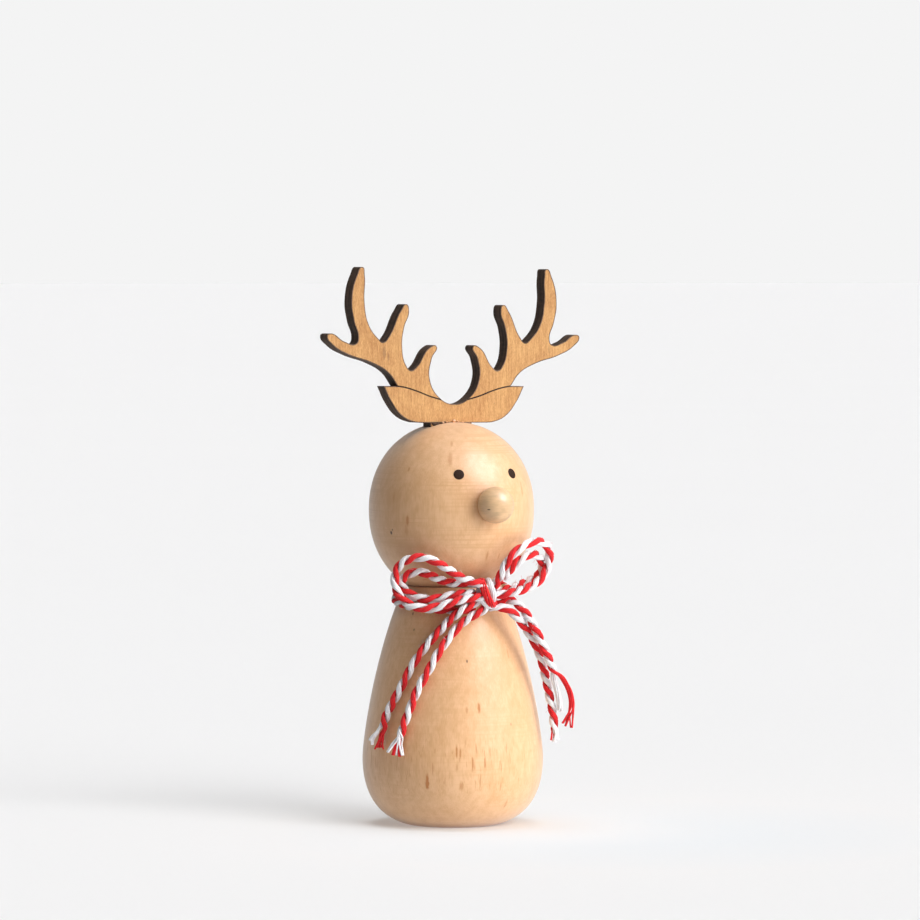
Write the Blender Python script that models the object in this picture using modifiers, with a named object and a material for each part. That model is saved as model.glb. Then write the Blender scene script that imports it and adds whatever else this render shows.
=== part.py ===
"""Wooden deer figurine: turned body and head, flat antler plate, nose peg, eye dots and a twine bow.

Metres, +Z up. The origin is the centre of the flat base, the deer looks along -Y, and left and
right are as seen from its front.
"""

import math

import bmesh
import bpy
from mathutils import Matrix, Vector

MM = 0.001

# Gap left between pieces that are glued, pressed or tied together
FIT_GAP = 0.3 * MM

# Facets of the turned pieces, and the angle above which an edge shows as sharp
TURN_STEPS = 48
MERGE_DISTANCE = 0.001 * MM
SHARP_ANGLE = math.radians(30)

# Body: a turned cone with a round belly and a flat base
BODY_HEIGHT = 47.8 * MM
NECK_RADIUS = 9.76 * MM
BELLY_RADIUS = 18.1 * MM
BELLY_HEIGHT = 13.3 * MM
BASE_RADIUS = 9.2 * MM
SHOULDER_SPREAD = 5.74 * MM
SHOULDER_DROP = 13.1 * MM
BELLY_RISE = 3.9 * MM
BELLY_FALL = 4.8 * MM
BASE_SPREAD = 7.5 * MM
BASE_LIFT = 1.8 * MM
SHOULDER_POINTS = 14
BELLY_POINTS = 9

# Head: a ball a little fuller than an ellipsoid, cut flat where it meets the body
HEAD_RADIUS = 16.55 * MM
HEAD_HALF_HEIGHT = 17.57 * MM
HEAD_FULLNESS = 2.113
HEAD_CUT = 2.32 * MM
HEAD_POINTS = 20

# Dowel hidden in the neck, half in the body and half in the head
DOWEL_RADIUS = 4.0 * MM
DOWEL_LENGTH = 24.0 * MM
DOWEL_CHAMFER = 0.5 * MM
DOWEL_SIDES = 24

# Antler plate: cut from a flat sheet, its tab a little off centre in a slot in the crown
PLATE_THICKNESS = 3.0 * MM
TAB_WIDTH = 9.4 * MM
TAB_SHIFT = -0.7 * MM
TAB_DEPTH = 5.7 * MM
EAR_CLEARANCE = 0.22 * MM
PLATE_CURVE_STEPS = 3

# Nose: a round-headed peg in a drilled hole
NOSE_RADIUS = 3.65 * MM
NOSE_HEIGHT_ON_HEAD = 1.45 * MM
NOSE_STAND_OUT = 1.6 * MM
NOSE_PEG_RADIUS = 2.0 * MM
NOSE_PEG_LENGTH = 5.0 * MM
NOSE_POINTS = 10
NOSE_STEPS = 24

# Eyes: flat round dots let into the head
EYE_RADIUS = 1.05 * MM
EYE_THICKNESS = 0.6 * MM
EYE_PROUD = 0.12 * MM
EYE_HEIGHT_ON_HEAD = 7.45 * MM
EYE_ANGLE = math.radians(23.4)
EYE_SIDES = 20

# Twine: two lengths held together, once round the neck and tied in a bow
TWINE_RADIUS = 0.75 * MM
TWINE_STEP = 2.5 * 2 * TWINE_RADIUS
TWINE_ROUNDNESS = 2
NECK_TURN_ROUNDNESS = 1
NECK_TURN_POINTS = 24
NECK_TURN_DROP = 0.8 * MM
NECK_TURN_TILT = 1.8 * MM
NECK_TURN_HIGH_SIDE = math.radians(150)
NECK_TURN_OPENING = math.radians(16)
NECK_TURN_PITCH = 2 * TWINE_RADIUS + FIT_GAP

# Knot: a bead of twine in front of the neck, leaning to the left at its top
KNOT_HALF_WIDTH = 1.6 * MM
KNOT_HALF_DEPTH = 1.7 * MM
KNOT_HALF_HEIGHT = 2.9 * MM
KNOT_DROP = 0.8 * MM
KNOT_LIFT = 3.3 * MM
KNOT_LEAN = math.radians(-18)
KNOT_SEGMENTS = 16
KNOT_RINGS = 10

# Routes of the free stretches: degrees round from the front, millimetres above the neck seam
# and millimetres that the twine is lifted off the wood, from the knot outwards
TWINE_ROUTES = {
    "left_loop_outer": (
        (-7, 0.9, 3.7), (-21.5, 2.2, 2.7), (-31.5, 3.9, 2.0), (-40, 5.5, 1.9), (-49, 6.4, 2.2),
        (-58, 5.8, 3.3), (-64, 4.0, 4.7), (-65.5, 1.5, 6.8), (-63.5, -1.0, 7.6), (-57.5, -2.8, 6.4),
        (-49, -3.6, 5.3), (-39.5, -3.4, 4.6), (-29, -2.5, 4.4), (-19.5, -1.8, 4.2), (-7, -1.5, 3.9)),
    "left_loop_inner": (
        (-7.5, 0.9, 2.0), (-18.5, 1.2, 1.6), (-29, 1.2, 1.9), (-38.5, 1.8, 1.9), (-46, 2.8, 1.8),
        (-54, 3.4, 2.1), (-61.5, 2.8, 3.2), (-65, 1.4, 4.9), (-63, -0.2, 6.0), (-57, -1.3, 5.1),
        (-48.5, -1.9, 4.5), (-38.5, -1.7, 3.8), (-28, -1.1, 3.5), (-17.5, -0.8, 3.3), (-8, -0.9, 2.6)),
    "right_loop_outer": (
        (6, 1.5, 3.3), (5, 2.9, 3.4), (6, 4.8, 3.2), (10, 7.0, 3.1), (18, 8.7, 3.0), (28, 9.3, 3.2),
        (38.5, 8.1, 3.9), (44, 5.7, 4.7), (44, 3.4, 5.5), (37.5, 1.3, 6.5), (27, -0.1, 6.8),
        (15, -0.8, 5.7), (7.5, -1.2, 4.2)),
    "right_loop_inner": (
        (10.5, 1.2, 1.4), (14, 2.4, 1.9), (17, 4.2, 1.9), (22, 5.8, 1.9), (31, 6.6, 2.1),
        (40.5, 6.0, 2.8), (47.5, 4.2, 3.8), (48.5, 2.5, 4.4), (42.5, 1.4, 4.3), (31.5, 0.6, 4.2),
        (20.5, -0.1, 4.2), (11, -0.6, 3.2)),
    "left_tail_outer": (
        (-12.5, -3.0, 2.2), (-21.5, -4.1, 2.3), (-31.5, -6.2, 1.0), (-40.5, -8.6, 0.5),
        (-49.5, -11.4, 0.5), (-58, -14.9, 0.4), (-65, -19.0, 0.2), (-70.5, -22.4, 0.3),
        (-75.5, -25.9, 0.4), (-77.5, -30.1, 0.1)),
    "left_tail_inner": (
        (-4.5, -4.1, 2.2), (-13.5, -5.4, 1.5), (-23, -7.1, 0.7), (-32, -9.7, 0.5), (-40, -12.9, 0.7),
        (-46.5, -16.5, 0.6), (-52.5, -19.9, 0.5), (-57, -23.6, 0.3), (-61, -27.4, 0.3), (-63, -31.6, 0.1)),
    "right_tail_inner": (
        (6.5, -3.6, 2.1), (14, -4.1, 3.2), (21, -5.9, 3.6), (28.5, -8.4, 3.5), (35.5, -11.5, 3.4),
        (41, -14.9, 3.1), (45, -18.6, 2.7), (46.5, -22.2, 2.6), (47, -25.9, 2.6), (46.5, -30.1, 2.0)),
    "right_tail_outer": (
        (14, -2.5, 1.9), (19.5, -2.4, 3.4), (23, -3.8, 4.7), (26.5, -6.2, 5.4), (29.5, -9.0, 5.6),
        (34, -12.1, 5.4), (39, -15.4, 5.2), (43.5, -18.9, 5.1), (46, -22.7, 5.0), (46.5, -27.3, 4.5)),
}

# Half outline of the antlers and ear: millimetres out from the centre line and up from the
# plate's lower edge. The curves flow, and the ear's root, tip and end are sharp corners.
CUP_BOTTOM = (0.0, 3.7)
ANTLER_CURVE = (
    (3.5, 5.1), (5.7, 8.9), (5.2, 12.9), (4.2, 15.3), (5.6, 15.1), (8.8, 11.0), (9.9, 10.4),
    (11.0, 11.3), (12.0, 15.1), (11.6, 18.9), (10.5, 22.3), (11.1, 23.6), (12.3, 22.4), (15.2, 16.9),
    (16.3, 16.0), (17.4, 16.7), (19.6, 19.5), (20.6, 24.1), (20.6, 29.3), (21.1, 30.9), (22.3, 29.3),
    (23.5, 24.1), (22.9, 20.1), (21.9, 16.9), (22.4, 15.7), (25.0, 16.1), (28.3, 17.7), (28.9, 17.2),
    (27.6, 15.4), (24.0, 13.5), (18.5, 11.8), (15.0, 9.9),
)
EAR_ROOT = (12.95, 7.3)
EAR_TIP = (16.0, 7.3)
EAR_CURVE = ((14.3, 4.1), (11.8, 1.3), (9.0, 0.15))
EAR_END = (7.4, 0.0)

# Finishes: colour in display values, then roughness
PALE_WOOD = ((0.90, 0.72, 0.52), 0.42)
NOSE_WOOD = ((0.84, 0.70, 0.52), 0.35)
DOWEL_WOOD = ((0.84, 0.70, 0.50), 0.60)
PLATE_WOOD = ((0.86, 0.65, 0.42), 0.60)
EYE_PAINT = ((0.07, 0.06, 0.05), 0.50)
TWINE_MIX = ((0.87, 0.45, 0.47), 0.90)

HEAD_BOTTOM = BODY_HEIGHT + FIT_GAP
HEAD_CENTRE = BODY_HEIGHT + HEAD_HALF_HEIGHT - HEAD_CUT
HEAD_TOP = HEAD_CENTRE + HEAD_HALF_HEIGHT
FORWARD = Matrix.Rotation(math.radians(90), 4, "X")


def clear_scene():
    for item in list(bpy.data.objects):
        bpy.data.objects.remove(item)


def new_collection(name):
    collection = bpy.data.collections.new(name)
    bpy.context.scene.collection.children.link(collection)
    return collection


def linear(channel):
    """Display value of a colour channel to the linear value that a shader takes."""
    if channel <= 0.04045:
        return channel / 12.92
    return ((channel + 0.055) / 1.055) ** 2.4


def finish(item, look):
    """Give a piece its own plain material."""
    colour, roughness = look
    material = bpy.data.materials.new(item.name)
    material.use_nodes = True
    shader = material.node_tree.nodes["Principled BSDF"]
    shader.inputs["Base Color"].default_value = [linear(channel) for channel in colour] + [1.0]
    shader.inputs["Roughness"].default_value = roughness
    shader.inputs["Metallic"].default_value = 0.0
    item.data.materials.append(material)


def bezier(start, leave, arrive, end, count):
    """Points along one cubic curve, both ends included."""
    points = []
    for index in range(count):
        t = index / (count - 1)
        s = 1 - t
        weights = (s ** 3, 3 * s * s * t, 3 * s * t * t, t ** 3)
        corners = (start, leave, arrive, end)
        points.append(tuple(sum(w * c[axis] for w, c in zip(weights, corners)) for axis in range(2)))
    return points


def body_outline():
    """Radius and height down the body's side, from the neck to the base."""
    neck = (NECK_RADIUS, BODY_HEIGHT)
    shoulder = (NECK_RADIUS + SHOULDER_SPREAD, BODY_HEIGHT - SHOULDER_DROP)
    belly = (BELLY_RADIUS, BELLY_HEIGHT)
    above_belly = (BELLY_RADIUS, BELLY_HEIGHT + BELLY_RISE)
    below_belly = (BELLY_RADIUS, BELLY_HEIGHT - BELLY_FALL)
    base_curve = (BASE_RADIUS + BASE_SPREAD, BASE_LIFT)
    base = (BASE_RADIUS, 0.0)
    upper = bezier(neck, shoulder, above_belly, belly, SHOULDER_POINTS)
    lower = bezier(belly, below_belly, base_curve, base, BELLY_POINTS)
    return upper + lower[1:]


def head_point(angle):
    """Radius and height on the head at an angle above its widest line."""
    power = 2 / HEAD_FULLNESS
    radius = HEAD_RADIUS * max(math.cos(angle), 0.0) ** power
    rise = HEAD_HALF_HEIGHT * abs(math.sin(angle)) ** power
    return radius, HEAD_CENTRE + math.copysign(rise, angle)


def head_angle(height):
    """Angle that head_point gives this height for."""
    share = (height - HEAD_CENTRE) / HEAD_HALF_HEIGHT
    return math.copysign(math.asin(abs(share) ** (HEAD_FULLNESS / 2)), share)


def head_outline():
    """Radius and height down the head's side, from just off the crown to the neck."""
    lowest = head_angle(HEAD_BOTTOM)
    highest = math.pi / 2
    angles = [highest + (lowest - highest) * index / HEAD_POINTS for index in range(1, HEAD_POINTS + 1)]
    return [head_point(angle) for angle in angles]


def head_slope(height):
    """Angle above level at which the head's surface faces at a height."""
    radius = head_point(head_angle(height))[0]
    rise = height - HEAD_CENTRE
    power = HEAD_FULLNESS - 1
    outward = (radius / HEAD_RADIUS) ** power / HEAD_RADIUS
    upward = (abs(rise) / HEAD_HALF_HEIGHT) ** power / HEAD_HALF_HEIGHT
    return math.atan2(math.copysign(upward, rise), outward)


def resting_radius(height, distance, outline):
    """Least radius at which a point at this height keeps its distance from the turned wood."""
    reaches = []
    for radius, level in outline:
        if abs(level - height) < distance:
            reaches.append(radius + math.sqrt(distance ** 2 - (level - height) ** 2))
    return max(reaches)


def finer(outline):
    """The same outline with points close enough for a twine to rest on."""
    pieces = 8
    points = []
    for first, second in zip(outline, outline[1:]):
        for index in range(pieces):
            share = index / pieces
            points.append(tuple(a + (b - a) * share for a, b in zip(first, second)))
    return points + [outline[-1]]


def link(name, data, collection, look):
    item = bpy.data.objects.new(name, data)
    collection.objects.link(item)
    if look:
        finish(item, look)
    return item


def turned(name, outline, steps, collection, look):
    """A solid of revolution about Z from an outline that starts and ends on the axis, top first."""
    shape = bmesh.new()
    corners = [shape.verts.new((radius, 0.0, height)) for radius, height in outline]
    for first, second in zip(corners, corners[1:]):
        shape.edges.new((first, second))
    mesh = bpy.data.meshes.new(name)
    shape.to_mesh(mesh)
    shape.free()
    item = link(name, mesh, collection, look)
    screw = item.modifiers.new("turn", "SCREW")
    screw.axis = "Z"
    screw.steps = steps
    screw.render_steps = steps
    screw.use_merge_vertices = True
    screw.merge_threshold = MERGE_DISTANCE
    screw.use_smooth_shade = True
    return item


def rod(name, radius, low, high, sides, collection, look):
    """A round bar about Z between two heights."""
    shape = bmesh.new()
    middle = Matrix.Translation((0, 0, (low + high) / 2))
    bmesh.ops.create_cone(shape, cap_ends=True, segments=sides, radius1=radius, radius2=radius,
                          depth=high - low, matrix=middle)
    mesh = bpy.data.meshes.new(name)
    shape.to_mesh(mesh)
    shape.free()
    mesh.shade_smooth()
    mesh.set_sharp_from_angle(angle=SHARP_ANGLE)
    return link(name, mesh, collection, look)


def cut(item, cutter):
    """Take the cutter's shape out of a piece."""
    cutter.hide_render = True
    cutter.display_type = "WIRE"
    boolean = item.modifiers.new(cutter.name, "BOOLEAN")
    boolean.operation = "DIFFERENCE"
    boolean.object = cutter


def make_body(parts, cutters):
    outline = [(0.0, BODY_HEIGHT)] + body_outline() + [(0.0, 0.0)]
    body = turned("body", outline, TURN_STEPS, parts, PALE_WOOD)
    bore_floor = BODY_HEIGHT - DOWEL_LENGTH / 2 - FIT_GAP
    cut(body, rod("body_bore", DOWEL_RADIUS + FIT_GAP, bore_floor, BODY_HEIGHT + DOWEL_LENGTH / 2,
                  DOWEL_SIDES, cutters, None))


def make_head(parts, cutters):
    outline = [(0.0, HEAD_TOP)] + head_outline() + [(0.0, HEAD_BOTTOM)]
    head = turned("head", outline, TURN_STEPS, parts, PALE_WOOD)
    bore_roof = BODY_HEIGHT + DOWEL_LENGTH / 2 + FIT_GAP
    cut(head, rod("head_bore", DOWEL_RADIUS + FIT_GAP, BODY_HEIGHT - DOWEL_LENGTH / 2, bore_roof,
                  DOWEL_SIDES, cutters, None))
    cut(head, plate_slot(cutters))
    cut(head, nose_hole(cutters))
    for name, angle in (("left_eye", -EYE_ANGLE), ("right_eye", EYE_ANGLE)):
        cut(head, eye_seat(name + "_seat", angle, cutters))


def make_neck_dowel(parts):
    half = DOWEL_LENGTH / 2
    dowel = rod("neck_dowel", DOWEL_RADIUS, BODY_HEIGHT - half, BODY_HEIGHT + half, DOWEL_SIDES,
                parts, DOWEL_WOOD)
    chamfer = dowel.modifiers.new("chamfer", "BEVEL")
    chamfer.width = DOWEL_CHAMFER
    chamfer.segments = 1


def plate_edge_height():
    """Height of the plate's lower edge, just clear of the crown at the slot's nearer end."""
    slot_end = TAB_WIDTH / 2 - abs(TAB_SHIFT) + FIT_GAP
    share = slot_end / HEAD_RADIUS
    rise = (1 - share ** HEAD_FULLNESS) ** (1 / HEAD_FULLNESS)
    return HEAD_CENTRE + HEAD_HALF_HEIGHT * rise + EAR_CLEARANCE


def plate_slot(cutters):
    """Slot in the crown for the plate's tab."""
    floor = plate_edge_height() - TAB_DEPTH - FIT_GAP
    roof = HEAD_TOP + TAB_DEPTH
    size = (TAB_WIDTH + 2 * FIT_GAP, PLATE_THICKNESS + 2 * FIT_GAP, roof - floor)
    shape = bmesh.new()
    bmesh.ops.create_cube(shape, size=1.0)
    bmesh.ops.scale(shape, vec=size, verts=shape.verts)
    bmesh.ops.translate(shape, vec=(TAB_SHIFT, 0, (roof + floor) / 2), verts=shape.verts)
    mesh = bpy.data.meshes.new("plate_slot")
    shape.to_mesh(mesh)
    shape.free()
    return link("plate_slot", mesh, cutters, None)


def make_antler_plate(parts):
    right = [(point, "AUTO") for point in ANTLER_CURVE]
    right += [(point, "VECTOR") for point in (EAR_ROOT, EAR_TIP)]
    right += [(point, "AUTO") for point in EAR_CURVE]
    right += [(EAR_END, "VECTOR")]
    left = [((-out, up), handle) for (out, up), handle in reversed(right)]
    tab_left = (TAB_SHIFT - TAB_WIDTH / 2) / MM
    tab_right = (TAB_SHIFT + TAB_WIDTH / 2) / MM
    tab_foot = -TAB_DEPTH / MM
    tab_corners = ((tab_right, 0.0), (tab_right, tab_foot), (tab_left, tab_foot), (tab_left, 0.0))
    tab = [(corner, "VECTOR") for corner in tab_corners]
    outline = [(CUP_BOTTOM, "AUTO")] + right + tab + left
    curve = bpy.data.curves.new("antler_plate", "CURVE")
    curve.dimensions = "2D"
    curve.fill_mode = "BOTH"
    curve.extrude = PLATE_THICKNESS / 2
    curve.resolution_u = PLATE_CURVE_STEPS
    spline = curve.splines.new("BEZIER")
    spline.bezier_points.add(len(outline) - 1)
    spline.use_cyclic_u = True
    for knot, ((out, up), handle) in zip(spline.bezier_points, outline):
        knot.co = (out * MM, up * MM, 0.0)
        knot.handle_left_type = handle
        knot.handle_right_type = handle
    plate = link("antler_plate", curve, parts, PLATE_WOOD)
    plate.matrix_world = Matrix.Translation((0, 0, plate_edge_height())) @ FORWARD


def nose_place():
    """Frame at the nose's centre, with its own Z pointing forward."""
    height = HEAD_CENTRE + NOSE_HEIGHT_ON_HEAD
    surface = head_point(head_angle(height))[0]
    return Matrix.Translation((0, -surface - NOSE_STAND_OUT, height)) @ FORWARD


def nose_hole(cutters):
    """Drilled hole for the nose's peg."""
    depth = NOSE_STAND_OUT + NOSE_PEG_LENGTH + FIT_GAP
    hole = rod("nose_hole", NOSE_PEG_RADIUS + FIT_GAP, -depth, NOSE_RADIUS, NOSE_STEPS, cutters, None)
    hole.matrix_world = nose_place()
    return hole


def make_nose(parts):
    seat = -NOSE_STAND_OUT + FIT_GAP
    last = math.asin(seat / NOSE_RADIUS)
    first = math.pi / 2
    outline = [(0.0, NOSE_RADIUS)]
    for index in range(1, NOSE_POINTS + 1):
        angle = first + (last - first) * index / NOSE_POINTS
        outline.append((NOSE_RADIUS * math.cos(angle), NOSE_RADIUS * math.sin(angle)))
    peg_end = seat - NOSE_PEG_LENGTH
    outline += [(NOSE_PEG_RADIUS, seat), (NOSE_PEG_RADIUS, peg_end), (0.0, peg_end)]
    nose = turned("nose", outline, NOSE_STEPS, parts, NOSE_WOOD)
    nose.matrix_world = nose_place()


def eye_place(angle):
    """Frame on the head's surface at an eye, with its own Z pointing straight out of the wood."""
    height = HEAD_CENTRE + EYE_HEIGHT_ON_HEAD
    surface = head_point(head_angle(height))[0]
    spin = Matrix.Rotation(angle, 4, "Z")
    tilt = Matrix.Rotation(-head_slope(height), 4, "X")
    return spin @ Matrix.Translation((0, -surface, height)) @ tilt @ FORWARD


def eye_seat(name, angle, cutters):
    """Shallow round seat for an eye."""
    floor = EYE_PROUD - EYE_THICKNESS - FIT_GAP
    seat = rod(name, EYE_RADIUS + FIT_GAP, floor, EYE_THICKNESS, EYE_SIDES, cutters, None)
    seat.matrix_world = eye_place(angle)
    return seat


def make_eyes(parts):
    for name, angle in (("left_eye", -EYE_ANGLE), ("right_eye", EYE_ANGLE)):
        eye = rod(name, EYE_RADIUS, EYE_PROUD - EYE_THICKNESS, EYE_PROUD, EYE_SIDES, parts, EYE_PAINT)
        eye.matrix_world = eye_place(angle)


def around(angle, radius, height):
    """Point at an angle round from the front, positive to the right."""
    return Vector((radius * math.sin(angle), -radius * math.cos(angle), height))


def smooth_curve(route, pieces):
    """Dense points of a flowing curve through the route's points."""
    ends = [2 * route[0] - route[1]] + route + [2 * route[-1] - route[-2]]
    points = []
    for a, b, c, d in zip(ends, ends[1:], ends[2:], ends[3:]):
        for index in range(pieces):
            t = index / pieces
            points.append(0.5 * (2 * b + (c - a) * t + (2 * a - 5 * b + 4 * c - d) * t ** 2
                                 + (3 * b - a - 3 * c + d) * t ** 3))
    return points + [route[-1]]


def evenly(points, step):
    """Points read from a dense curve at even steps, ends kept."""
    travelled = [0.0]
    for first, second in zip(points, points[1:]):
        travelled.append(travelled[-1] + (second - first).length)
    count = max(round(travelled[-1] / step), 1)
    chosen = []
    place = 0
    for index in range(count):
        target = travelled[-1] * index / count
        while travelled[place + 1] < target:
            place += 1
        share = (target - travelled[place]) / (travelled[place + 1] - travelled[place])
        chosen.append(points[place].lerp(points[place + 1], share))
    return chosen + [points[-1]]


def tube(name, points, roundness, collection):
    """A stretch of twine along points, with flat ends."""
    curve = bpy.data.curves.new(name, "CURVE")
    curve.dimensions = "3D"
    curve.bevel_depth = TWINE_RADIUS
    curve.bevel_resolution = roundness
    curve.use_fill_caps = True
    spline = curve.splines.new("POLY")
    spline.points.add(len(points) - 1)
    for knot, point in zip(spline.points, points):
        knot.co = (point.x, point.y, point.z, 1.0)
    link(name, curve, collection, TWINE_MIX)


def make_bow(parts, wood):
    """The free loops and tails of the bow, each from the knot outwards."""
    curve_pieces = 12
    stand_off = TWINE_RADIUS + FIT_GAP
    for name, route in TWINE_ROUTES.items():
        points = []
        for degrees, above_neck, lift in route:
            height = BODY_HEIGHT + above_neck * MM
            radius = resting_radius(height, stand_off, wood) + lift * MM
            points.append(around(math.radians(degrees), radius, height))
        steps = evenly(smooth_curve(points, curve_pieces), TWINE_STEP)
        tube(name, steps, TWINE_ROUNDNESS, parts)


def make_neck_turns(parts, wood):
    """Two strands side by side once round the neck, open behind the knot."""
    stand_off = TWINE_RADIUS + FIT_GAP
    for index, name in enumerate(("neck_twine_upper", "neck_twine_lower")):
        points = []
        for step in range(NECK_TURN_POINTS + 1):
            sweep = (2 * math.pi - NECK_TURN_OPENING) * step / NECK_TURN_POINTS
            angle = NECK_TURN_OPENING / 2 + sweep
            tilt = NECK_TURN_TILT * math.cos(angle - NECK_TURN_HIGH_SIDE)
            height = BODY_HEIGHT - NECK_TURN_DROP - index * NECK_TURN_PITCH + tilt
            points.append(around(angle, resting_radius(height, stand_off, wood), height))
        gap = (points[0] - points[-1]).length - 2 * TWINE_RADIUS
        print(name, "least gap to itself", round(gap / MM, 2), "mm")
        tube(name, points, NECK_TURN_ROUNDNESS, parts)


def make_knot(parts, wood):
    height = BODY_HEIGHT - KNOT_DROP
    radius = resting_radius(height, TWINE_RADIUS + FIT_GAP, wood) + KNOT_LIFT
    lean = Matrix.Rotation(KNOT_LEAN, 4, "Y")
    size = Matrix.Diagonal((KNOT_HALF_WIDTH, KNOT_HALF_DEPTH, KNOT_HALF_HEIGHT, 1.0))
    place = Matrix.Translation(around(0.0, radius, height))
    shape = bmesh.new()
    bmesh.ops.create_uvsphere(shape, u_segments=KNOT_SEGMENTS, v_segments=KNOT_RINGS, radius=1.0,
                              matrix=lean @ size)
    mesh = bpy.data.meshes.new("bow_knot")
    shape.to_mesh(mesh)
    shape.free()
    mesh.shade_smooth()
    knot = link("bow_knot", mesh, parts, TWINE_MIX)
    knot.matrix_world = place


def main():
    clear_scene()
    parts = new_collection("wooden_deer_figurine")
    cutters = new_collection("cutters")
    wood = finer(body_outline()) + finer(head_outline())
    make_body(parts, cutters)
    make_head(parts, cutters)
    make_neck_dowel(parts)
    make_antler_plate(parts)
    make_nose(parts)
    make_eyes(parts)
    make_neck_turns(parts, wood)
    make_knot(parts, wood)
    make_bow(parts, wood)


main()
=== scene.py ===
"""Looks of a wooden deer figurine: turned wood, a cut antler plate, a peg nose and a twine bow."""

import math
import random

import bmesh
import bpy
import numpy
from bpy.props import FloatProperty, FloatVectorProperty, IntProperty, PointerProperty
from mathutils import Matrix, Vector


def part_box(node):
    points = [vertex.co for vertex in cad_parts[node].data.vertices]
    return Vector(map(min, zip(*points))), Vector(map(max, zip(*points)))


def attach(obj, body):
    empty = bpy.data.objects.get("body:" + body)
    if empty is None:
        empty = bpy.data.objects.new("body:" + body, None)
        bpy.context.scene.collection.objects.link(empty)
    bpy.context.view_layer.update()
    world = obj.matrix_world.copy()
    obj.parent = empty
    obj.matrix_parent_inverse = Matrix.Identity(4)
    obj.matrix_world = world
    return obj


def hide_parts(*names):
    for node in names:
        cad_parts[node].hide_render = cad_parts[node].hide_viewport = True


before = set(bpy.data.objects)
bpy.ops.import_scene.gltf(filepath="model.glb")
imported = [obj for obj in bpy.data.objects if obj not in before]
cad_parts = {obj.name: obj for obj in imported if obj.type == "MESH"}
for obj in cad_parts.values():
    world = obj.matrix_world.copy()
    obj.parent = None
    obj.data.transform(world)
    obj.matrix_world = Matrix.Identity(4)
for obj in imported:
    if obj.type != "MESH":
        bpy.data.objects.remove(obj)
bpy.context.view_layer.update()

bl_info = {
    "name": "Wooden deer figurine",
    "version": (1, 0, 0),
    "blender": (4, 5, 0),
    "location": "3D View > Sidebar > Deer",
    "description": "Builds the wood, the antlers and the twine bow of a small deer figurine",
    "category": "Add Mesh",
}

MM = 0.001

# Sizes and places that come from the frame
BODY_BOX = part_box("body")
HEAD_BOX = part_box("head")
PLATE_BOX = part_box("antler_plate")
KNOT_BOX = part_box("bow_knot")
KNOT_CENTRE = (KNOT_BOX[0] + KNOT_BOX[1]) / 2
BODY_HEIGHT = BODY_BOX[1].z
HEAD_TOP = HEAD_BOX[1].z
PLATE_THICKNESS = PLATE_BOX[1].y - PLATE_BOX[0].y

# How near points merge, and the folds that stay sharp edges
WELD = 0.001 * MM
SHARP = math.radians(35)
PLATE_SHARP = math.radians(30)

# Holes and slots cut in the head, which reach out past its surface
HOLE_SIDES = 32
SLOT_RISE = 5 * MM
EYE_CLEAR = 0.02 * MM
EYE_CUT = 0.6 * MM

# The knot's parted plies, and how the twine meets the knot and the wood
KNOT_ASIDE = -0.4 * MM
KNOT_YARNS = 8
KNOT_STEP = 0.2 * MM
KNOT_TWIST = 0.04
INTO_KNOT = 0.45
TWINE_CLEAR = 0.3 * MM
NECK_SNUG = 0.8
NECK_STEPS = 144

# Reach of the marks into the wood, of a ramp over heights in millimetres, and of the floor
SPOT_DEPTH = 6 * MM
RAMP_REACH = 50.0
FLOOR_HALF = 60.0

# Turns a piece made along Z to face the front
FORWARD = Matrix.Rotation(math.radians(90), 4, "X")

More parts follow.
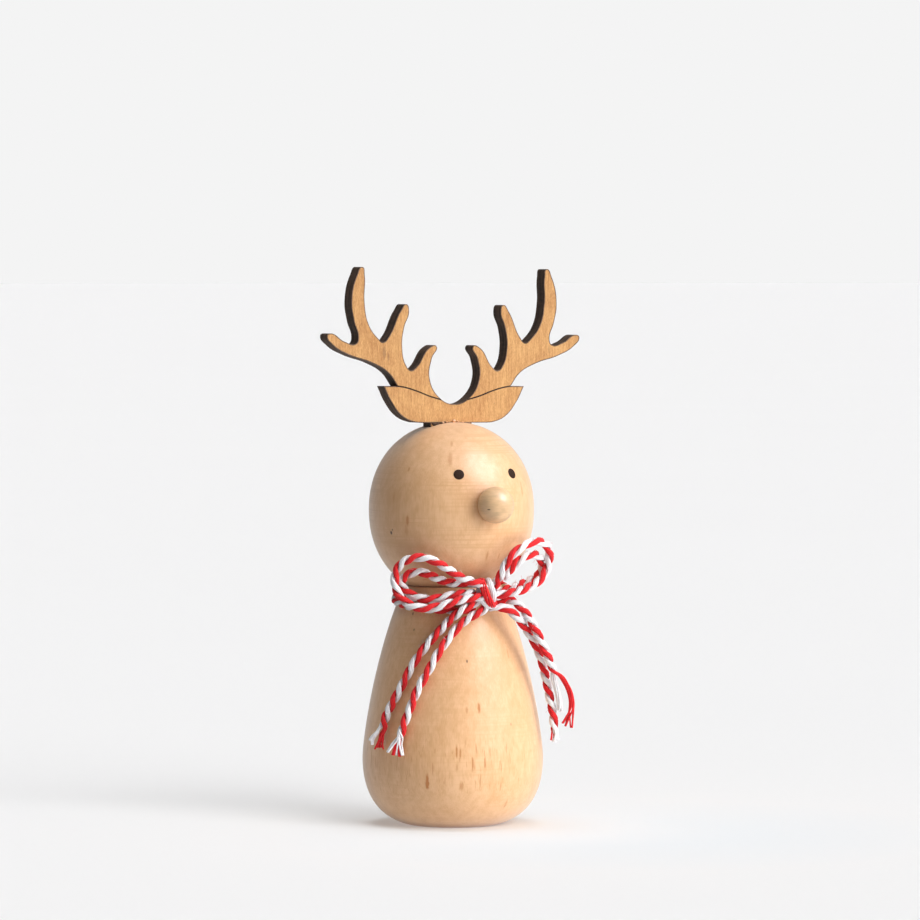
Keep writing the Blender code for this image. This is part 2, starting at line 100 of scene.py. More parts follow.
# Routes of the free twine: degrees round from the front, millimetres above the neck seam and
# millimetres lifted off the wood, from the knot outwards
TWINE_ROUTES = {
    "left_loop_outer": (
        (-7, 0.9, 3.7), (-21.5, 2.2, 2.7), (-31.5, 3.9, 2.0), (-40, 5.5, 1.9), (-49, 6.4, 2.2),
        (-58, 5.8, 3.3), (-64, 4.0, 4.7), (-65.5, 1.5, 6.8), (-63.5, -1.0, 7.6), (-57.5, -2.8, 6.4),
        (-49, -3.6, 5.3), (-39.5, -3.4, 4.6), (-29, -2.5, 4.4), (-19.5, -1.8, 4.2), (-7, -1.5, 3.9)),
    "left_loop_inner": (
        (-7.5, 0.9, 2.0), (-18.5, 1.2, 1.6), (-29, 1.2, 1.9), (-38.5, 1.8, 1.9), (-46, 2.8, 1.8),
        (-54, 3.4, 2.1), (-61.5, 2.8, 3.2), (-65, 1.4, 4.9), (-63, -0.2, 6.0), (-57, -1.3, 5.1),
        (-48.5, -1.9, 4.5), (-38.5, -1.7, 3.8), (-28, -1.1, 3.5), (-17.5, -0.8, 3.3), (-8, -0.9, 2.6)),
    "right_loop_outer": (
        (6, 1.5, 3.3), (5, 2.9, 3.4), (6, 4.8, 3.2), (10, 7.0, 3.1), (18, 8.7, 3.0), (28, 9.3, 3.2),
        (38.5, 8.1, 3.9), (44, 5.7, 4.7), (44, 3.4, 5.5), (37.5, 1.3, 6.5), (27, -0.1, 6.8),
        (15, -0.8, 5.7), (7.5, -1.2, 4.2)),
    "right_loop_inner": (
        (10.5, 1.2, 1.4), (14, 2.4, 1.9), (17, 4.2, 1.9), (22, 5.8, 1.9), (31, 6.6, 2.1),
        (40.5, 6.0, 2.8), (47.5, 4.2, 3.8), (48.5, 2.5, 4.4), (42.5, 1.4, 4.3), (31.5, 0.6, 4.2),
        (20.5, -0.1, 4.2), (11, -0.6, 3.2)),
    "left_tail_outer": (
        (-12.5, -3.0, 2.2), (-21.5, -4.1, 2.3), (-31.5, -6.2, 1.0), (-40.5, -8.6, 0.5),
        (-49.5, -11.4, 0.5), (-58, -14.9, 0.4), (-65, -19.0, 0.2), (-70.5, -22.4, 0.3),
        (-75.5, -25.9, 0.4), (-77.5, -30.1, 0.1)),
    "left_tail_inner": (
        (-4.5, -4.1, 2.2), (-13.5, -5.4, 1.5), (-23, -7.1, 0.7), (-32, -9.7, 0.5), (-40, -12.9, 0.7),
        (-46.5, -16.5, 0.6), (-52.5, -19.9, 0.5), (-57, -23.6, 0.3), (-61, -27.4, 0.3), (-63, -31.6, 0.1)),
    "right_tail_inner": (
        (6.5, -3.6, 2.1), (14, -4.1, 3.2), (21, -5.9, 3.6), (28.5, -8.4, 3.5), (35.5, -11.5, 3.4),
        (41, -14.9, 3.1), (45, -18.6, 2.7), (46.5, -22.2, 2.6), (47, -25.9, 2.6), (46.5, -30.1, 2.0)),
    "right_tail_outer": (
        (14, -2.5, 1.9), (19.5, -2.4, 3.4), (23, -3.8, 4.7), (26.5, -6.2, 5.4), (29.5, -9.0, 5.6),
        (34, -12.1, 5.4), (39, -15.4, 5.2), (43.5, -18.9, 5.1), (46, -22.7, 5.0), (46.5, -27.3, 4.5)),
}

# Loose ends: how many millimetres back the plies part, how many back they split into strands and
# how far the red ply bows aside, then for the red and the white ply the millimetres that each
# strand ends aside and along from the twine's end
LOOSE_ENDS = {
    "left_tail_outer": (
        3.2, 2.4, 0.0, ((-1.1, 1.9), (-0.5, 1.7), (0.2, 1.6), (0.8, 2.0)), ((-2.3, 0.2), (-1.7, 0.9))),
    "left_tail_inner": (3.8, 3.6, 0.0, ((-1.0, 1.4), (0.4, 1.7)), ((-2.2, 0.7), (-0.2, 1.4), (1.0, 1.3))),
    "right_tail_inner": (
        3.0, 3.0, 0.0, ((0.9, -1.8), (0.6, -1.5), (-0.4, 0.8)), ((-0.1, 1.2), (0.4, 1.2), (0.9, 0.7))),
    "right_tail_outer": (
        12.0, 3.0, 1.45, ((1.5, 0.9), (0.3, 0.7), (-0.3, 0.2)), ((-0.8, -2.6), (-0.3, -2.3))),
}

# Millimetres along each free twine, from the knot, at which its red ply faces the viewer
RED_FRONTS = {
    "left_loop_outer": (3.0, 7.2, 11.5, 16.8, 21.3, 27.0, 32.6, 38.1, 42.4),
    "left_loop_inner": (3.5, 7.7, 11.5, 16.4, 20.1, 25.2, 30.6, 34.6),
    "right_loop_outer": (1.4, 7.2, 14.3, 20.4, 26.6, 32.0, 36.3),
    "right_loop_inner": (2.9, 6.3, 11.6, 16.9, 21.0, 25.9, 30.0),
    "left_tail_outer": (2.5, 7.3, 11.4, 16.9, 22.4, 27.7, 32.1),
    "left_tail_inner": (3.0, 7.2, 13.6, 19.1, 24.8, 30.3),
    "right_tail_inner": (4.6, 9.7, 14.7, 19.8, 24.5, 29.1),
    "right_tail_outer": (2.6, 7.1, 11.6, 17.4, 22.0, 27.0),
}

# Strands of the knot, seen from the camera: the ply, half its breadth, and millimetres to the
# right of, above and in front of the knot's middle
KNOT_STRANDS = (
    (0, 0.58, ((-0.8, 2.2, -0.6), (-1.0, 2.6, 0.8), (-0.6, 1.3, 2.0), (0.05, -0.4, 2.2),
               (0.75, -1.9, 1.9), (1.15, -2.6, 0.8), (1.1, -2.1, -0.6))),
    (1, 0.40, ((0.3, 2.2, -0.6), (0.45, 2.6, 0.6), (0.95, 1.3, 1.5), (1.4, -0.1, 1.5),
               (1.45, -1.1, 0.9), (1.2, -1.8, -0.4))),
    (1, 0.36, ((-1.3, 1.0, -0.2), (-1.55, 0.0, 1.0), (-0.95, -1.35, 1.7), (0.1, -2.45, 1.4),
               (0.9, -2.8, 0.6), (1.0, -2.4, -0.6))),
)

# Half outline of the antlers and ear: millimetres out from the centre line and up from the
# plate's lower edge. The curves flow, and the ear's root, tip and end are sharp corners.
CUP_BOTTOM = (0.0, 3.7)
ANTLER_CURVE = (
    (3.5, 5.1), (5.7, 8.9), (5.2, 12.9), (4.2, 15.3), (5.6, 15.1), (8.8, 11.0), (9.9, 10.4),
    (11.0, 11.3), (12.0, 15.1), (11.6, 18.9), (10.5, 22.3), (11.1, 23.6), (12.3, 22.4), (15.2, 16.9),
    (16.3, 16.0), (17.4, 16.7), (19.6, 19.5), (20.6, 24.1), (20.6, 29.3), (21.1, 30.9), (22.3, 29.3),
    (23.5, 24.1), (22.9, 20.1), (21.9, 16.9), (22.4, 15.7), (25.0, 16.1), (28.3, 17.7), (28.9, 17.2),
    (27.6, 15.4), (24.0, 13.5), (18.5, 11.8), (15.0, 9.9),
)
EAR_ROOT = (12.95, 7.3)
EAR_TIP = (16.0, 7.3)
EAR_CURVE = ((14.3, 4.1), (11.8, 1.3), (9.0, 0.15))
EAR_END = (7.4, 0.0)
SCORED_LINE = ((13.2, 7.35), (11.0, 7.0), (8.5, 6.3), (5.8, 5.35), (3.0, 4.6))

# Marks in the wood: degrees round from the front, height, half length and half width in
# millimetres, and strength
HEAD_FLECKS = (
    (-31.1, 73.4, 1.3, 0.45, 0.45), (-30.0, 76.4, 0.5, 0.28, 0.55), (-61.5, 61.4, 1.0, 0.34, 0.8),
    (-63.0, 59.5, 1.2, 0.40, 0.35), (-64.6, 71.4, 0.4, 0.25, 0.6), (-1.1, 54.3, 0.9, 0.26, 0.55),
    (10.2, 54.2, 0.6, 0.18, 0.5), (30.7, 67.4, 1.4, 0.24, 0.5), (-74.0, 66.0, 1.2, 0.3, 0.3),
    (120.0, 66.0, 1.2, 0.3, 0.7), (205.0, 58.0, 0.9, 0.25, 0.7),
)
HEAD_PITS = ((-77.1, 58.8, 0.36, 0.28, 1.0), (-75.5, 59.4, 0.2, 0.16, 0.8), (150.0, 70.0, 0.3, 0.22, 0.9))
BODY_FLECKS = (
    (-10.8, 24.3, 1.0, 0.30, 1.0), (-19.3, 24.0, 0.7, 0.22, 0.5), (21.2, 34.7, 1.1, 0.20, 0.45),
    (-26.5, 15.9, 1.3, 0.20, 0.9), (-24.2, 15.6, 1.0, 0.16, 0.8), (-14.0, 16.3, 1.2, 0.14, 0.55),
    (-4.8, 15.5, 1.0, 0.14, 0.5), (7.5, 16.2, 1.2, 0.16, 0.5), (-16.3, 13.5, 1.3, 0.18, 0.8),
    (-8.4, 13.6, 1.3, 0.20, 0.75), (-45.3, 10.0, 1.7, 0.30, 1.0), (-45.6, 9.3, 0.8, 0.42, 0.6),
    (-41.6, 12.4, 1.3, 0.16, 0.6), (3.1, 12.6, 1.1, 0.15, 0.6), (-11.2, 9.8, 1.6, 0.17, 0.55),
    (-23.4, 9.0, 0.9, 0.40, 0.55), (3.6, 8.8, 0.9, 0.16, 0.6), (11.5, 5.0, 1.0, 0.28, 0.5),
    (-92.5, 13.8, 1.8, 0.20, 0.6), (-87.0, 12.8, 1.3, 0.16, 0.5), (118.0, 26.0, 1.2, 0.3, 0.8),
    (170.0, 12.0, 1.8, 0.25, 0.8), (215.0, 33.0, 1.0, 0.25, 0.7),
)
BODY_PITS = ((-17.8, 33.5, 0.32, 0.17, 0.9), (-71.0, 42.6, 0.3, 0.2, 0.7), (-65.7, 39.5, 0.25, 0.18, 0.6),
             (13.0, 20.9, 0.3, 0.12, 0.6))

# The body's band of dashes, and the painted shade that darkens its foot where it meets the floor: millimetres
# up, and strength
BODY_DASHES = ((5, 0.1), (9, 0.8), (16, 1.0), (19, 0.1))
FOOT_SHADE = ((0.2, 1.0), (1.2, 0.0))

# A crack in the nose, in millimetres right of and above its middle as the camera sees it, and its
# half width, depth and half height
NOSE_CRACK = (-1.38, -0.78)
NOSE_CRACK_SIZE = (0.22 * MM, 1.0 * MM, 0.12 * MM)

# Grey smudges in the plate: millimetres out from the centre line and up from the lower edge, half
# length, half width and strength
PLATE_SMUDGES = (
    (-16.3, 14.0, 1.3, 0.35, 0.35), (-15.4, 13.2, 1.0, 0.25, 0.30), (21.5, 14.6, 0.7, 0.10, 0.45))

# Shares of an eye's radius and of its crown, from its middle out to its rim
EYE_PROFILE = ((0.0, 1.0), (0.5, 0.9), (0.85, 0.6), (1.0, 0.0))

# Crumbs left where the plate was pushed in: millimetres across, their length and height, and
# whether they are bare wood (0) or burnt (1)
CRUMBS = (
    (-2.6, 0.55, 0.35, 0), (-1.7, 0.35, 0.28, 0), (-0.1, 0.9, 0.62, 0), (0.75, 0.75, 0.38, 0),
    (1.9, 0.5, 0.22, 0), (-4.6, 1.1, 0.55, 1), (-3.8, 1.0, 0.5, 1), (-3.1, 0.9, 0.4, 1), (-2.2, 0.7, 0.3, 1),
)
CRUMB_DEPTH = 0.5 * MM
CRUMB_FORWARD = 0.15 * MM
CRUMB_LIFT = 0.3


def in_metres(name, description, default):
    """A size or a distance."""
    return FloatProperty(name=name, description=description, default=default, unit="LENGTH")


def in_degrees(name, description, degrees):
    """An angle, written here in degrees."""
    return FloatProperty(name=name, description=description, default=math.radians(degrees), subtype="ANGLE")


def plain(name, description, default):
    """A number without a unit."""
    return FloatProperty(name=name, description=description, default=default)


def in_colour(name, description, default):
    """A colour of a finish or a lamp."""
    return FloatVectorProperty(name=name, description=description, default=default, subtype="COLOR", size=3)


class WoodSettings(bpy.types.PropertyGroup):
    """Sizes and colours of the turned wood."""

    neck_radius: in_metres("Neck radius", "Radius of the body at the seam", 9.76 * MM)
    belly_radius: in_metres("Belly radius", "Widest radius of the body", BODY_BOX[1].x)
    belly_height: in_metres("Belly height", "Height of the widest line", 13.3 * MM)
    base_radius: in_metres("Base radius", "Radius of the flat base", 9.2 * MM)
    shoulder_spread: in_metres("Shoulder spread", "How far the shoulder curve leans out", 5.74 * MM)
    shoulder_drop: in_metres("Shoulder drop", "How far the shoulder curve reaches down", 13.1 * MM)
    belly_rise: in_metres("Belly rise", "How upright the side is above the belly", 3.9 * MM)
    belly_fall: in_metres("Belly fall", "How upright the side is below the belly", 4.8 * MM)
    base_spread: in_metres("Base spread", "How flat the foot leaves the base", 7.5 * MM)
    base_lift: in_metres("Base lift", "How steeply the foot leaves the base", 1.8 * MM)
    head_radius: in_metres("Head radius", "Widest radius of the head", HEAD_BOX[1].x)
    head_half_height: in_metres("Head half height", "Crown to the head's widest line", 17.57 * MM)
    head_fullness: plain("Head fullness", "2 is an ellipsoid, more is fuller", 2.113)
    dowel_radius: in_metres("Dowel radius", "Radius of the dowel in the neck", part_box("neck_dowel")[1].x)
    head_shift: FloatVectorProperty(
        name="Head shift", description="How far off the body's axis the head was glued", size=3,
        default=(-0.24 * MM, 0.13 * MM, 0.0), unit="LENGTH", subtype="TRANSLATION")
    fit_gap: in_metres("Fit gap", "Clearance round the dowel", 0.3 * MM)
    edge_round: in_metres("Edge round", "Rounding of the wood at seam and base", 0.22 * MM)
    seam_gap: in_metres("Seam gap", "Open line between head and body", 0.08 * MM)
    turn_steps: IntProperty(name="Turn steps", description="Facets round a turned piece", default=144)
    pale: in_colour("Pale wood", "Lighter wood between the grain", (0.815, 0.497, 0.264))
    warm: in_colour("Warm wood", "Darker wood of the grain", (0.700, 0.386, 0.178))
    fleck: in_colour("Flecks", "Orange-brown flecks in the wood", (0.520, 0.190, 0.045))
    pit: in_colour("Pits", "Dark pin holes in the wood", (0.110, 0.040, 0.012))


class FaceSettings(bpy.types.PropertyGroup):
    """Sizes and colours of the nose and eyes."""

    nose_radius: in_metres("Nose radius", "Radius of the nose", 3.65 * MM)
    nose_seat: in_metres("Nose seat", "Middle of the nose to its flat back", 1.48 * MM)
    nose_rounding: in_metres("Nose rounding", "Rounding of the nose's back rim", 0.4 * MM)
    peg_radius: in_metres("Peg radius", "Radius of the nose's peg", 2.0 * MM)
    peg_reach: in_metres("Peg reach", "Middle of the nose to the peg's end", 6.3 * MM)
    nose_wood: in_colour("Nose wood", "Greyish tan of the nose", (0.720, 0.470, 0.258))
    eye_radius: in_metres("Eye radius", "Radius of an eye", 1.05 * MM)
    eye_crown: in_metres("Eye crown", "How far an eye's middle stands proud", 0.13 * MM)
    eye_depth: in_metres("Eye depth", "How deep an eye sits in the wood", 0.48 * MM)
    eye_angle: in_degrees("Eye angle", "Turn of an eye from the front", 23.4)
    eye_height: in_metres("Eye height", "Height of the eyes", 70.5 * MM)
    eye_black: in_colour("Eye black", "Paint of the eyes", (0.020, 0.010, 0.006))


class PlateSettings(bpy.types.PropertyGroup):
    """Sizes and colours of the antler plate."""

    tab_width: in_metres("Tab width", "Width of the tab in the crown", 9.4 * MM)
    tab_shift: in_metres("Tab shift", "How far the tab is off the plate's centre line", -0.7 * MM)
    plate_shift: in_metres("Plate shift", "How far aside the plate was glued", -0.2 * MM)
    plate_roll: in_degrees("Plate roll", "How far the plate was glued off upright", 0.57)
    plate_turn: in_degrees("Plate turn", "How far the plate was glued off square", 0.4)
    slot_gap: in_metres("Slot gap", "Clearance between the tab and its slot", 0.1 * MM)
    scorch_width: in_metres("Scorch width", "Browned rim of each face", 0.18 * MM)
    score_radius: in_metres("Score radius", "Half width of the scored ear lines", 0.15 * MM)
    pale: in_colour("Plate pale", "Lighter sheet wood", (0.640, 0.355, 0.130))
    warm: in_colour("Plate warm", "Darker sheet wood", (0.400, 0.178, 0.050))
    char: in_colour("Char", "Burnt cut edge", (0.070, 0.043, 0.029))


class TwineSettings(bpy.types.PropertyGroup):
    """Sizes and colours of the twine."""

    diameter: in_metres("Diameter", "Thickness of the twine", 1.5 * MM)
    pitch: in_metres("Pitch", "Length of one full twist of the two plies", 4.97 * MM)
    ply_offset: in_metres("Ply offset", "Middle of a ply from the middle of the twine", 0.46 * MM)
    ply_depth: in_metres("Ply depth", "Half depth of the ring of yarns in a ply", 0.26 * MM)
    ply_breadth: in_metres("Ply breadth", "Half breadth of the ring of yarns in a ply", 0.43 * MM)
    yarn_radius: in_metres("Yarn radius", "Radius of one yarn", 0.19 * MM)
    yarns: IntProperty(name="Yarns", description="Yarns in one ply", default=7)
    bundle: in_metres("Bundle", "Half breadth of a frayed strand's yarns", 0.15 * MM)
    neck_drop: in_metres("Neck drop", "Upper neck turn below the seam", 0.8 * MM)
    neck_spacing: in_metres("Neck spacing", "Height between the neck turns", 1.8 * MM)
    neck_tilt: in_metres("Neck tilt", "How far the neck turns rise to one side", 1.8 * MM)
    neck_high_side: in_degrees("Neck high side", "Where the neck turns are highest", 150)
    neck_opening: in_degrees("Neck opening", "Gap of the neck turns under the knot", 16)
    red: in_colour("Red", "Dyed ply", (0.760, 0.024, 0.028))
    white: in_colour("White", "Undyed ply", (0.880, 0.850, 0.890))


class StageSettings(bpy.types.PropertyGroup):
    """Camera, light and floor."""

    distance: in_metres("Camera distance", "Camera to the figure's axis", 1.1)
    turn: in_degrees("Camera turn", "Camera's place round from the front", -29)
    height: in_metres("Camera height", "Camera above the floor", 0.110)
    lens: plain("Lens", "Focal length in millimetres", 215.2)
    aim_height: in_metres("Aim height", "Height in the middle of the picture", 72.85 * MM)
    aim_right: in_metres("Aim right", "How far right of the axis the picture's middle is", 1.46 * MM)
    key_turn: in_degrees("Key turn", "Key light's place round from the front", 25)
    key_rise: in_degrees("Key rise", "Key light above level", 32)
    key_strength: plain("Key strength", "Strength of the key light", 1.25)
    key_spread: in_degrees("Key spread", "Apparent size of the key light", 34)
    side_turn: in_degrees("Side turn", "Side light's place round from the front", 42)
    side_rise: in_degrees("Side rise", "Side light above level", 11)
    side_strength: plain("Side strength", "Strength of the side light", 2.25)
    side_spread: in_degrees("Side spread", "Apparent size of the side light", 54)
    top_turn: in_degrees("Top turn", "Overhead light's place round from the front", 15)
    top_rise: in_degrees("Top rise", "Overhead light above level", 79)
    top_strength: plain("Top strength", "Strength of the light from overhead", 2.1)
    top_spread: in_degrees("Top spread", "Apparent size of the light from overhead", 64)
    shine_turn: in_degrees("Shine turn", "Place of the light that only glosses mirror", 33)
    shine_rise: in_degrees("Shine rise", "The mirrored light above level", 46)
    shine_strength: plain("Shine strength", "Strength of the mirrored light", 3.9)
    shine_colour: in_colour("Shine colour", "Colour of the mirrored light", (0.94, 0.86, 1.0))
    shine_spread: in_degrees("Shine spread", "Apparent size of the mirrored light", 42)
    shadow_turn: in_degrees("Shadow turn", "Place of the light that throws the shadow on the floor", 11)
    shadow_rise: in_degrees("Shadow rise", "The shadow's light above level", 32)
    shadow_strength: plain("Shadow strength", "Strength of the shadow's light", 1.6)
    shadow_spread: in_degrees("Shadow spread", "Apparent size of the shadow's light", 40)
    floor_top: plain("Floor top", "Strength of the floor's light from overhead", 1.35)
    floor_spread: in_degrees("Floor spread", "Apparent size of the floor's light from overhead", 34)
    floor_light: plain("Floor light", "Even light on the floor that casts no shadow", 0.97)
    board_turn: in_degrees("Board turn", "Low white board's place round from the front", 34)
    board_away: in_metres("Board away", "The board's distance from the figure", 0.22)
    board_height: in_metres("Board height", "Middle of the board above the floor", 0.012)
    board_long: in_metres("Board length", "Length of the board", 0.24)
    board_tall: in_metres("Board breadth", "Breadth of the board", 0.05)
    board_power: plain("Board power", "Light the board throws back, in watts", 0.25)
    room: plain("Room light", "Even light from all round", 0.02)
    mirrored: plain("Mirrored room", "Brightness of the room in the gloss of the wood", 0.6)
    floor_reach: in_metres("Floor reach", "How far out the floor throws light back", 0.25)
    floor_lit_right: in_metres("Lit floor right", "Middle of the bright floor to the right", 0.08)
    floor_lit_front: in_metres("Lit floor front", "Middle of the bright floor to the front", 0.05)
    floor_far: plain("Floor far", "Share of light the far floor throws back", 0.35)
    floor: in_colour("Floor", "Pale floor", (0.879, 0.879, 0.880))
    floor_near: in_colour(
        "Floor near", "Floor by the wood, a touch cool against its warm glow", (0.820, 0.855, 0.878))
    backdrop: in_colour("Backdrop", "Pale backdrop", (0.905, 0.905, 0.905))


class Value:
    """A shader socket that Python's operators work on."""

    def __init__(self, finish, socket):
        self.finish = finish
        self.socket = socket

    def math(self, operation, first, second):
        return self.finish.node("ShaderNodeMath", {"operation": operation}, {0: first, 1: second})

    def __add__(self, other):
        return self.math("ADD", self, other)

    __radd__ = __add__

    def __sub__(self, other):
        return self.math("SUBTRACT", self, other)

    def __rsub__(self, other):
        return self.math("SUBTRACT", other, self)

    def __mul__(self, other):
        return self.math("MULTIPLY", self, other)

    __rmul__ = __mul__

    def __truediv__(self, other):
        return self.math("DIVIDE", self, other)


class Finish:
    """The nodes of a material or a world, written as expressions."""

    def __init__(self, owner):
        owner.use_nodes = True
        self.owner = owner
        self.tree = owner.node_tree
        self.tree.nodes.clear()

    def node(self, kind, settings, sockets, output=0):
        made = self.tree.nodes.new(kind)
        for name, setting in settings.items():
            if name == "stops":
                self.set_stops(made.color_ramp, setting)
            else:
                setattr(made, name, setting)
        for name, given in sockets.items():
            if isinstance(given, Value):
                self.tree.links.new(given.socket, made.inputs[name])
            else:
                made.inputs[name].default_value = given
        return Value(self, made.outputs[output]) if made.outputs else None

    def set_stops(self, ramp, stops):
        for index, (position, grey) in enumerate(stops):
            if index < 2:
                stop = ramp.elements[index]
            else:
                stop = ramp.elements.new(position)
            stop.position = position
            stop.color = (grey, grey, grey, 1.0)

    def here(self):
        return self.node("ShaderNodeTexCoord", {}, {}, "Object")

    def place(self, scale):
        """The object's own coordinates in millimetres, times a scale along each axis."""
        stretch = tuple(part / MM for part in scale)
        return self.node("ShaderNodeMapping", {}, {"Vector": self.here(), "Scale": stretch})

    def height(self):
        """Height on the object in millimetres."""
        return self.node("ShaderNodeSeparateXYZ", {}, {0: self.place((1.0, 1.0, 1.0))}, "Z")

    def noise(self, scale, detail=3.0, distortion=0.0):
        sockets = {"Vector": self.place(scale), "Scale": 1.0, "Detail": detail, "Distortion": distortion}
        return self.node("ShaderNodeTexNoise", {}, sockets, 0)

    def ramp(self, value, *stops):
        return self.node("ShaderNodeValToRGB", {"stops": stops}, {0: value})

    def by_height(self, stops):
        """A ramp over the height on the object, its stops given in millimetres."""
        shares = [(level / RAMP_REACH, grey) for level, grey in stops]
        return self.ramp(self.height() / RAMP_REACH, *shares)

    def away(self, place):
        """Distance on the object from a place."""
        sockets = {0: self.here(), 1: place}
        return self.node("ShaderNodeVectorMath", {"operation": "DISTANCE"}, sockets, "Value")

    def ray(self, kind):
        """1 where the light's path is of this kind."""
        return self.node("ShaderNodeLightPath", {}, {}, kind)

    def mix(self, factor, first, second):
        colours = {0: factor, 6: self.colour(first), 7: self.colour(second)}
        return self.node("ShaderNodeMix", {"data_type": "RGBA"}, colours, 2)

    def colour(self, given):
        return given if isinstance(given, Value) else (given[0], given[1], given[2], 1.0)

    def bump(self, height, strength, distance):
        return self.node("ShaderNodeBump", {}, {"Strength": strength, "Distance": distance, "Height": height})

    def close(self, sockets):
        """End the material in one surface."""
        shader = self.node("ShaderNodeBsdfPrincipled", {}, sockets)
        self.node("ShaderNodeOutputMaterial", {}, {"Surface": shader})
        return self.owner


def new_finish(name):
    return Finish(bpy.data.materials.new(name))


def settings():
    """The scene, which holds the property groups."""
    return bpy.context.scene


def shade(colour, times):
    """A colour made darker or lighter."""
    return tuple(times * part for part in colour)


def wood_finish(name, lathe=0.0, flecks=(), pits=(), dashes=()):
    """Satin varnished pale wood: upright fibres, lathe lines, flecks, pin holes, dashes, and painted shade
    darkening the foot.
    """
    wood = settings().deer_wood
    finish = new_finish(name)
    pale, warm, brown = tuple(wood.pale), tuple(wood.warm), tuple(wood.fleck)
    broad = finish.noise((0.10, 0.10, 0.05), 2.0, 0.5)
    mottle = finish.noise((0.8, 0.8, 0.45), 4.0)
    fibre = finish.noise((6.0, 6.0, 0.30), 4.0)
    grain = finish.ramp(0.30 * broad + 0.36 * mottle + 0.34 * fibre, (0.41, 0.0), (0.60, 1.0))
    base = finish.mix(grain, pale, warm)
    rings = finish.noise((0.04, 0.04, 2.6), 3.0)
    patch = finish.ramp(finish.noise((0.06, 0.06, 0.16), 1.0), (0.38, 0.0), (0.60, 1.0))
    lines = lathe * finish.ramp(rings, (0.48, 0.0), (0.62, 1.0)) * patch
    base = finish.mix(lines, base, warm)
    specks = finish.ramp(finish.noise((2.6, 2.6, 1.5), 2.0), (0.70, 0.0), (0.78, 1.0))
    base = finish.mix(0.30 * specks * patch, base, brown)
    if dashes:
        pores = finish.ramp(finish.noise((3.4, 3.4, 0.36), 1.5), (0.61, 0.0), (0.69, 1.0))
        base = finish.mix(0.48 * pores * finish.by_height(dashes), base, brown)
        # Painted shade: the wood darkens over the lowest millimetre of the foot, where it meets the floor.
        base = finish.mix(0.7 * finish.by_height(FOOT_SHADE), base, brown)
    if flecks:
        base = finish.mix(spots_mask(finish, flecks, 0.9), base, brown)
        base = finish.mix(spots_mask(finish, pits, 0.3), base, tuple(wood.pit))
    return finish.close({
        "Base Color": base, "Roughness": 0.38 + 0.14 * fibre, "Coat Weight": 0.20, "Coat Roughness": 0.25,
        "Sheen Weight": 0.32, "Sheen Roughness": 0.5, "Sheen Tint": (0.75, 0.9, 1.0, 1.0),
        "Normal": finish.bump(0.6 * fibre + 0.4 * mottle + lines, 0.08, 0.10 * MM)})


def turned_spots(marks, reach):
    """Marks on a turned piece as places, turns and sizes, given its radius at each height."""
    spots = []
    for degrees, height, half_length, half_width, strength in marks:
        turn = math.radians(degrees)
        place = around(turn, reach(height * MM), height * MM)
        spots.append((place, turn, (half_width * MM, SPOT_DEPTH, half_length * MM), strength))
    return spots


def spots_mask(finish, spots, raggedness):
    """Soft spots at chosen places, with ragged edges."""
    here = finish.here()
    ragged = raggedness * (finish.noise((2.6, 2.6, 1.3), 2.0) - 0.5)
    total = 0.0
    for place, turn, size, strength in spots:
        sockets = {"Vector": here, "Location": place, "Rotation": (0.0, 0.0, turn), "Scale": size}
        local = finish.node("ShaderNodeMapping", {"vector_type": "TEXTURE"}, sockets)
        away = finish.node("ShaderNodeVectorMath", {"operation": "LENGTH"}, {0: local}, "Value")
        fade = {"Value": away + ragged, "From Min": 0.45, "From Max": 1.40, "To Min": strength, "To Max": 0.0}
        total = total + finish.node("ShaderNodeMapRange", {"interpolation_type": "SMOOTHSTEP"}, fade)
    return finish.node("ShaderNodeClamp", {}, {0: total})


def plate_finish(edge):
    """Matt sheet wood, fine upright grain and specks, and grey smudges."""
    plate = settings().deer_plate
    finish = new_finish("sheet_wood")
    grain = finish.noise((3.0, 0.5, 0.34), 4.0, 0.6)
    fibre = finish.noise((9.0, 1.0, 2.2), 3.0)
    broad = finish.noise((0.14, 0.12, 0.10), 2.0, 0.5)
    depth = finish.ramp(0.40 * grain + 0.40 * fibre + 0.20 * broad, (0.39, 0.0), (0.61, 1.0))
    base = finish.mix(depth, tuple(plate.pale), tuple(plate.warm))
    specks = finish.ramp(finish.noise((3.2, 1.0, 2.2), 2.0), (0.68, 0.0), (0.76, 1.0))
    base = finish.mix(0.30 * specks, base, tuple(plate.char))
    smudges = []
    for out, up, half_length, half_width, strength in PLATE_SMUDGES:
        place = (out * MM, PLATE_BOX[0].y, edge + up * MM)
        smudges.append((place, 0.0, (half_width * MM, SPOT_DEPTH, half_length * MM), strength))
    base = finish.mix(spots_mask(finish, smudges, 1.2), base, tuple(plate.char))
    return finish.close({
        "Base Color": base, "Roughness": 0.55 + 0.16 * fibre,
        "Normal": finish.bump(fibre + grain, 0.20, 0.10 * MM)})


def char_finish(name, lightness):
    """Burnt edge with the sheet's layers showing as faint stripes."""
    plate = settings().deer_plate
    finish = new_finish(name)
    layers = finish.noise((0.18, 1.3, 0.18), 2.0)
    soot = finish.noise((1.8, 0.5, 1.8), 3.0)
    stripes = finish.ramp(0.6 * layers + 0.4 * soot, (0.38, 0.0), (0.64, 1.0))
    base = finish.mix(stripes, shade(plate.char, 0.45 * lightness), shade(plate.char, 1.35 * lightness))
    return finish.close({
        "Base Color": base, "Roughness": 0.55 + 0.2 * soot, "Specular IOR Level": 0.15,
        "Normal": finish.bump(layers + soot, 0.30, 0.12 * MM)})


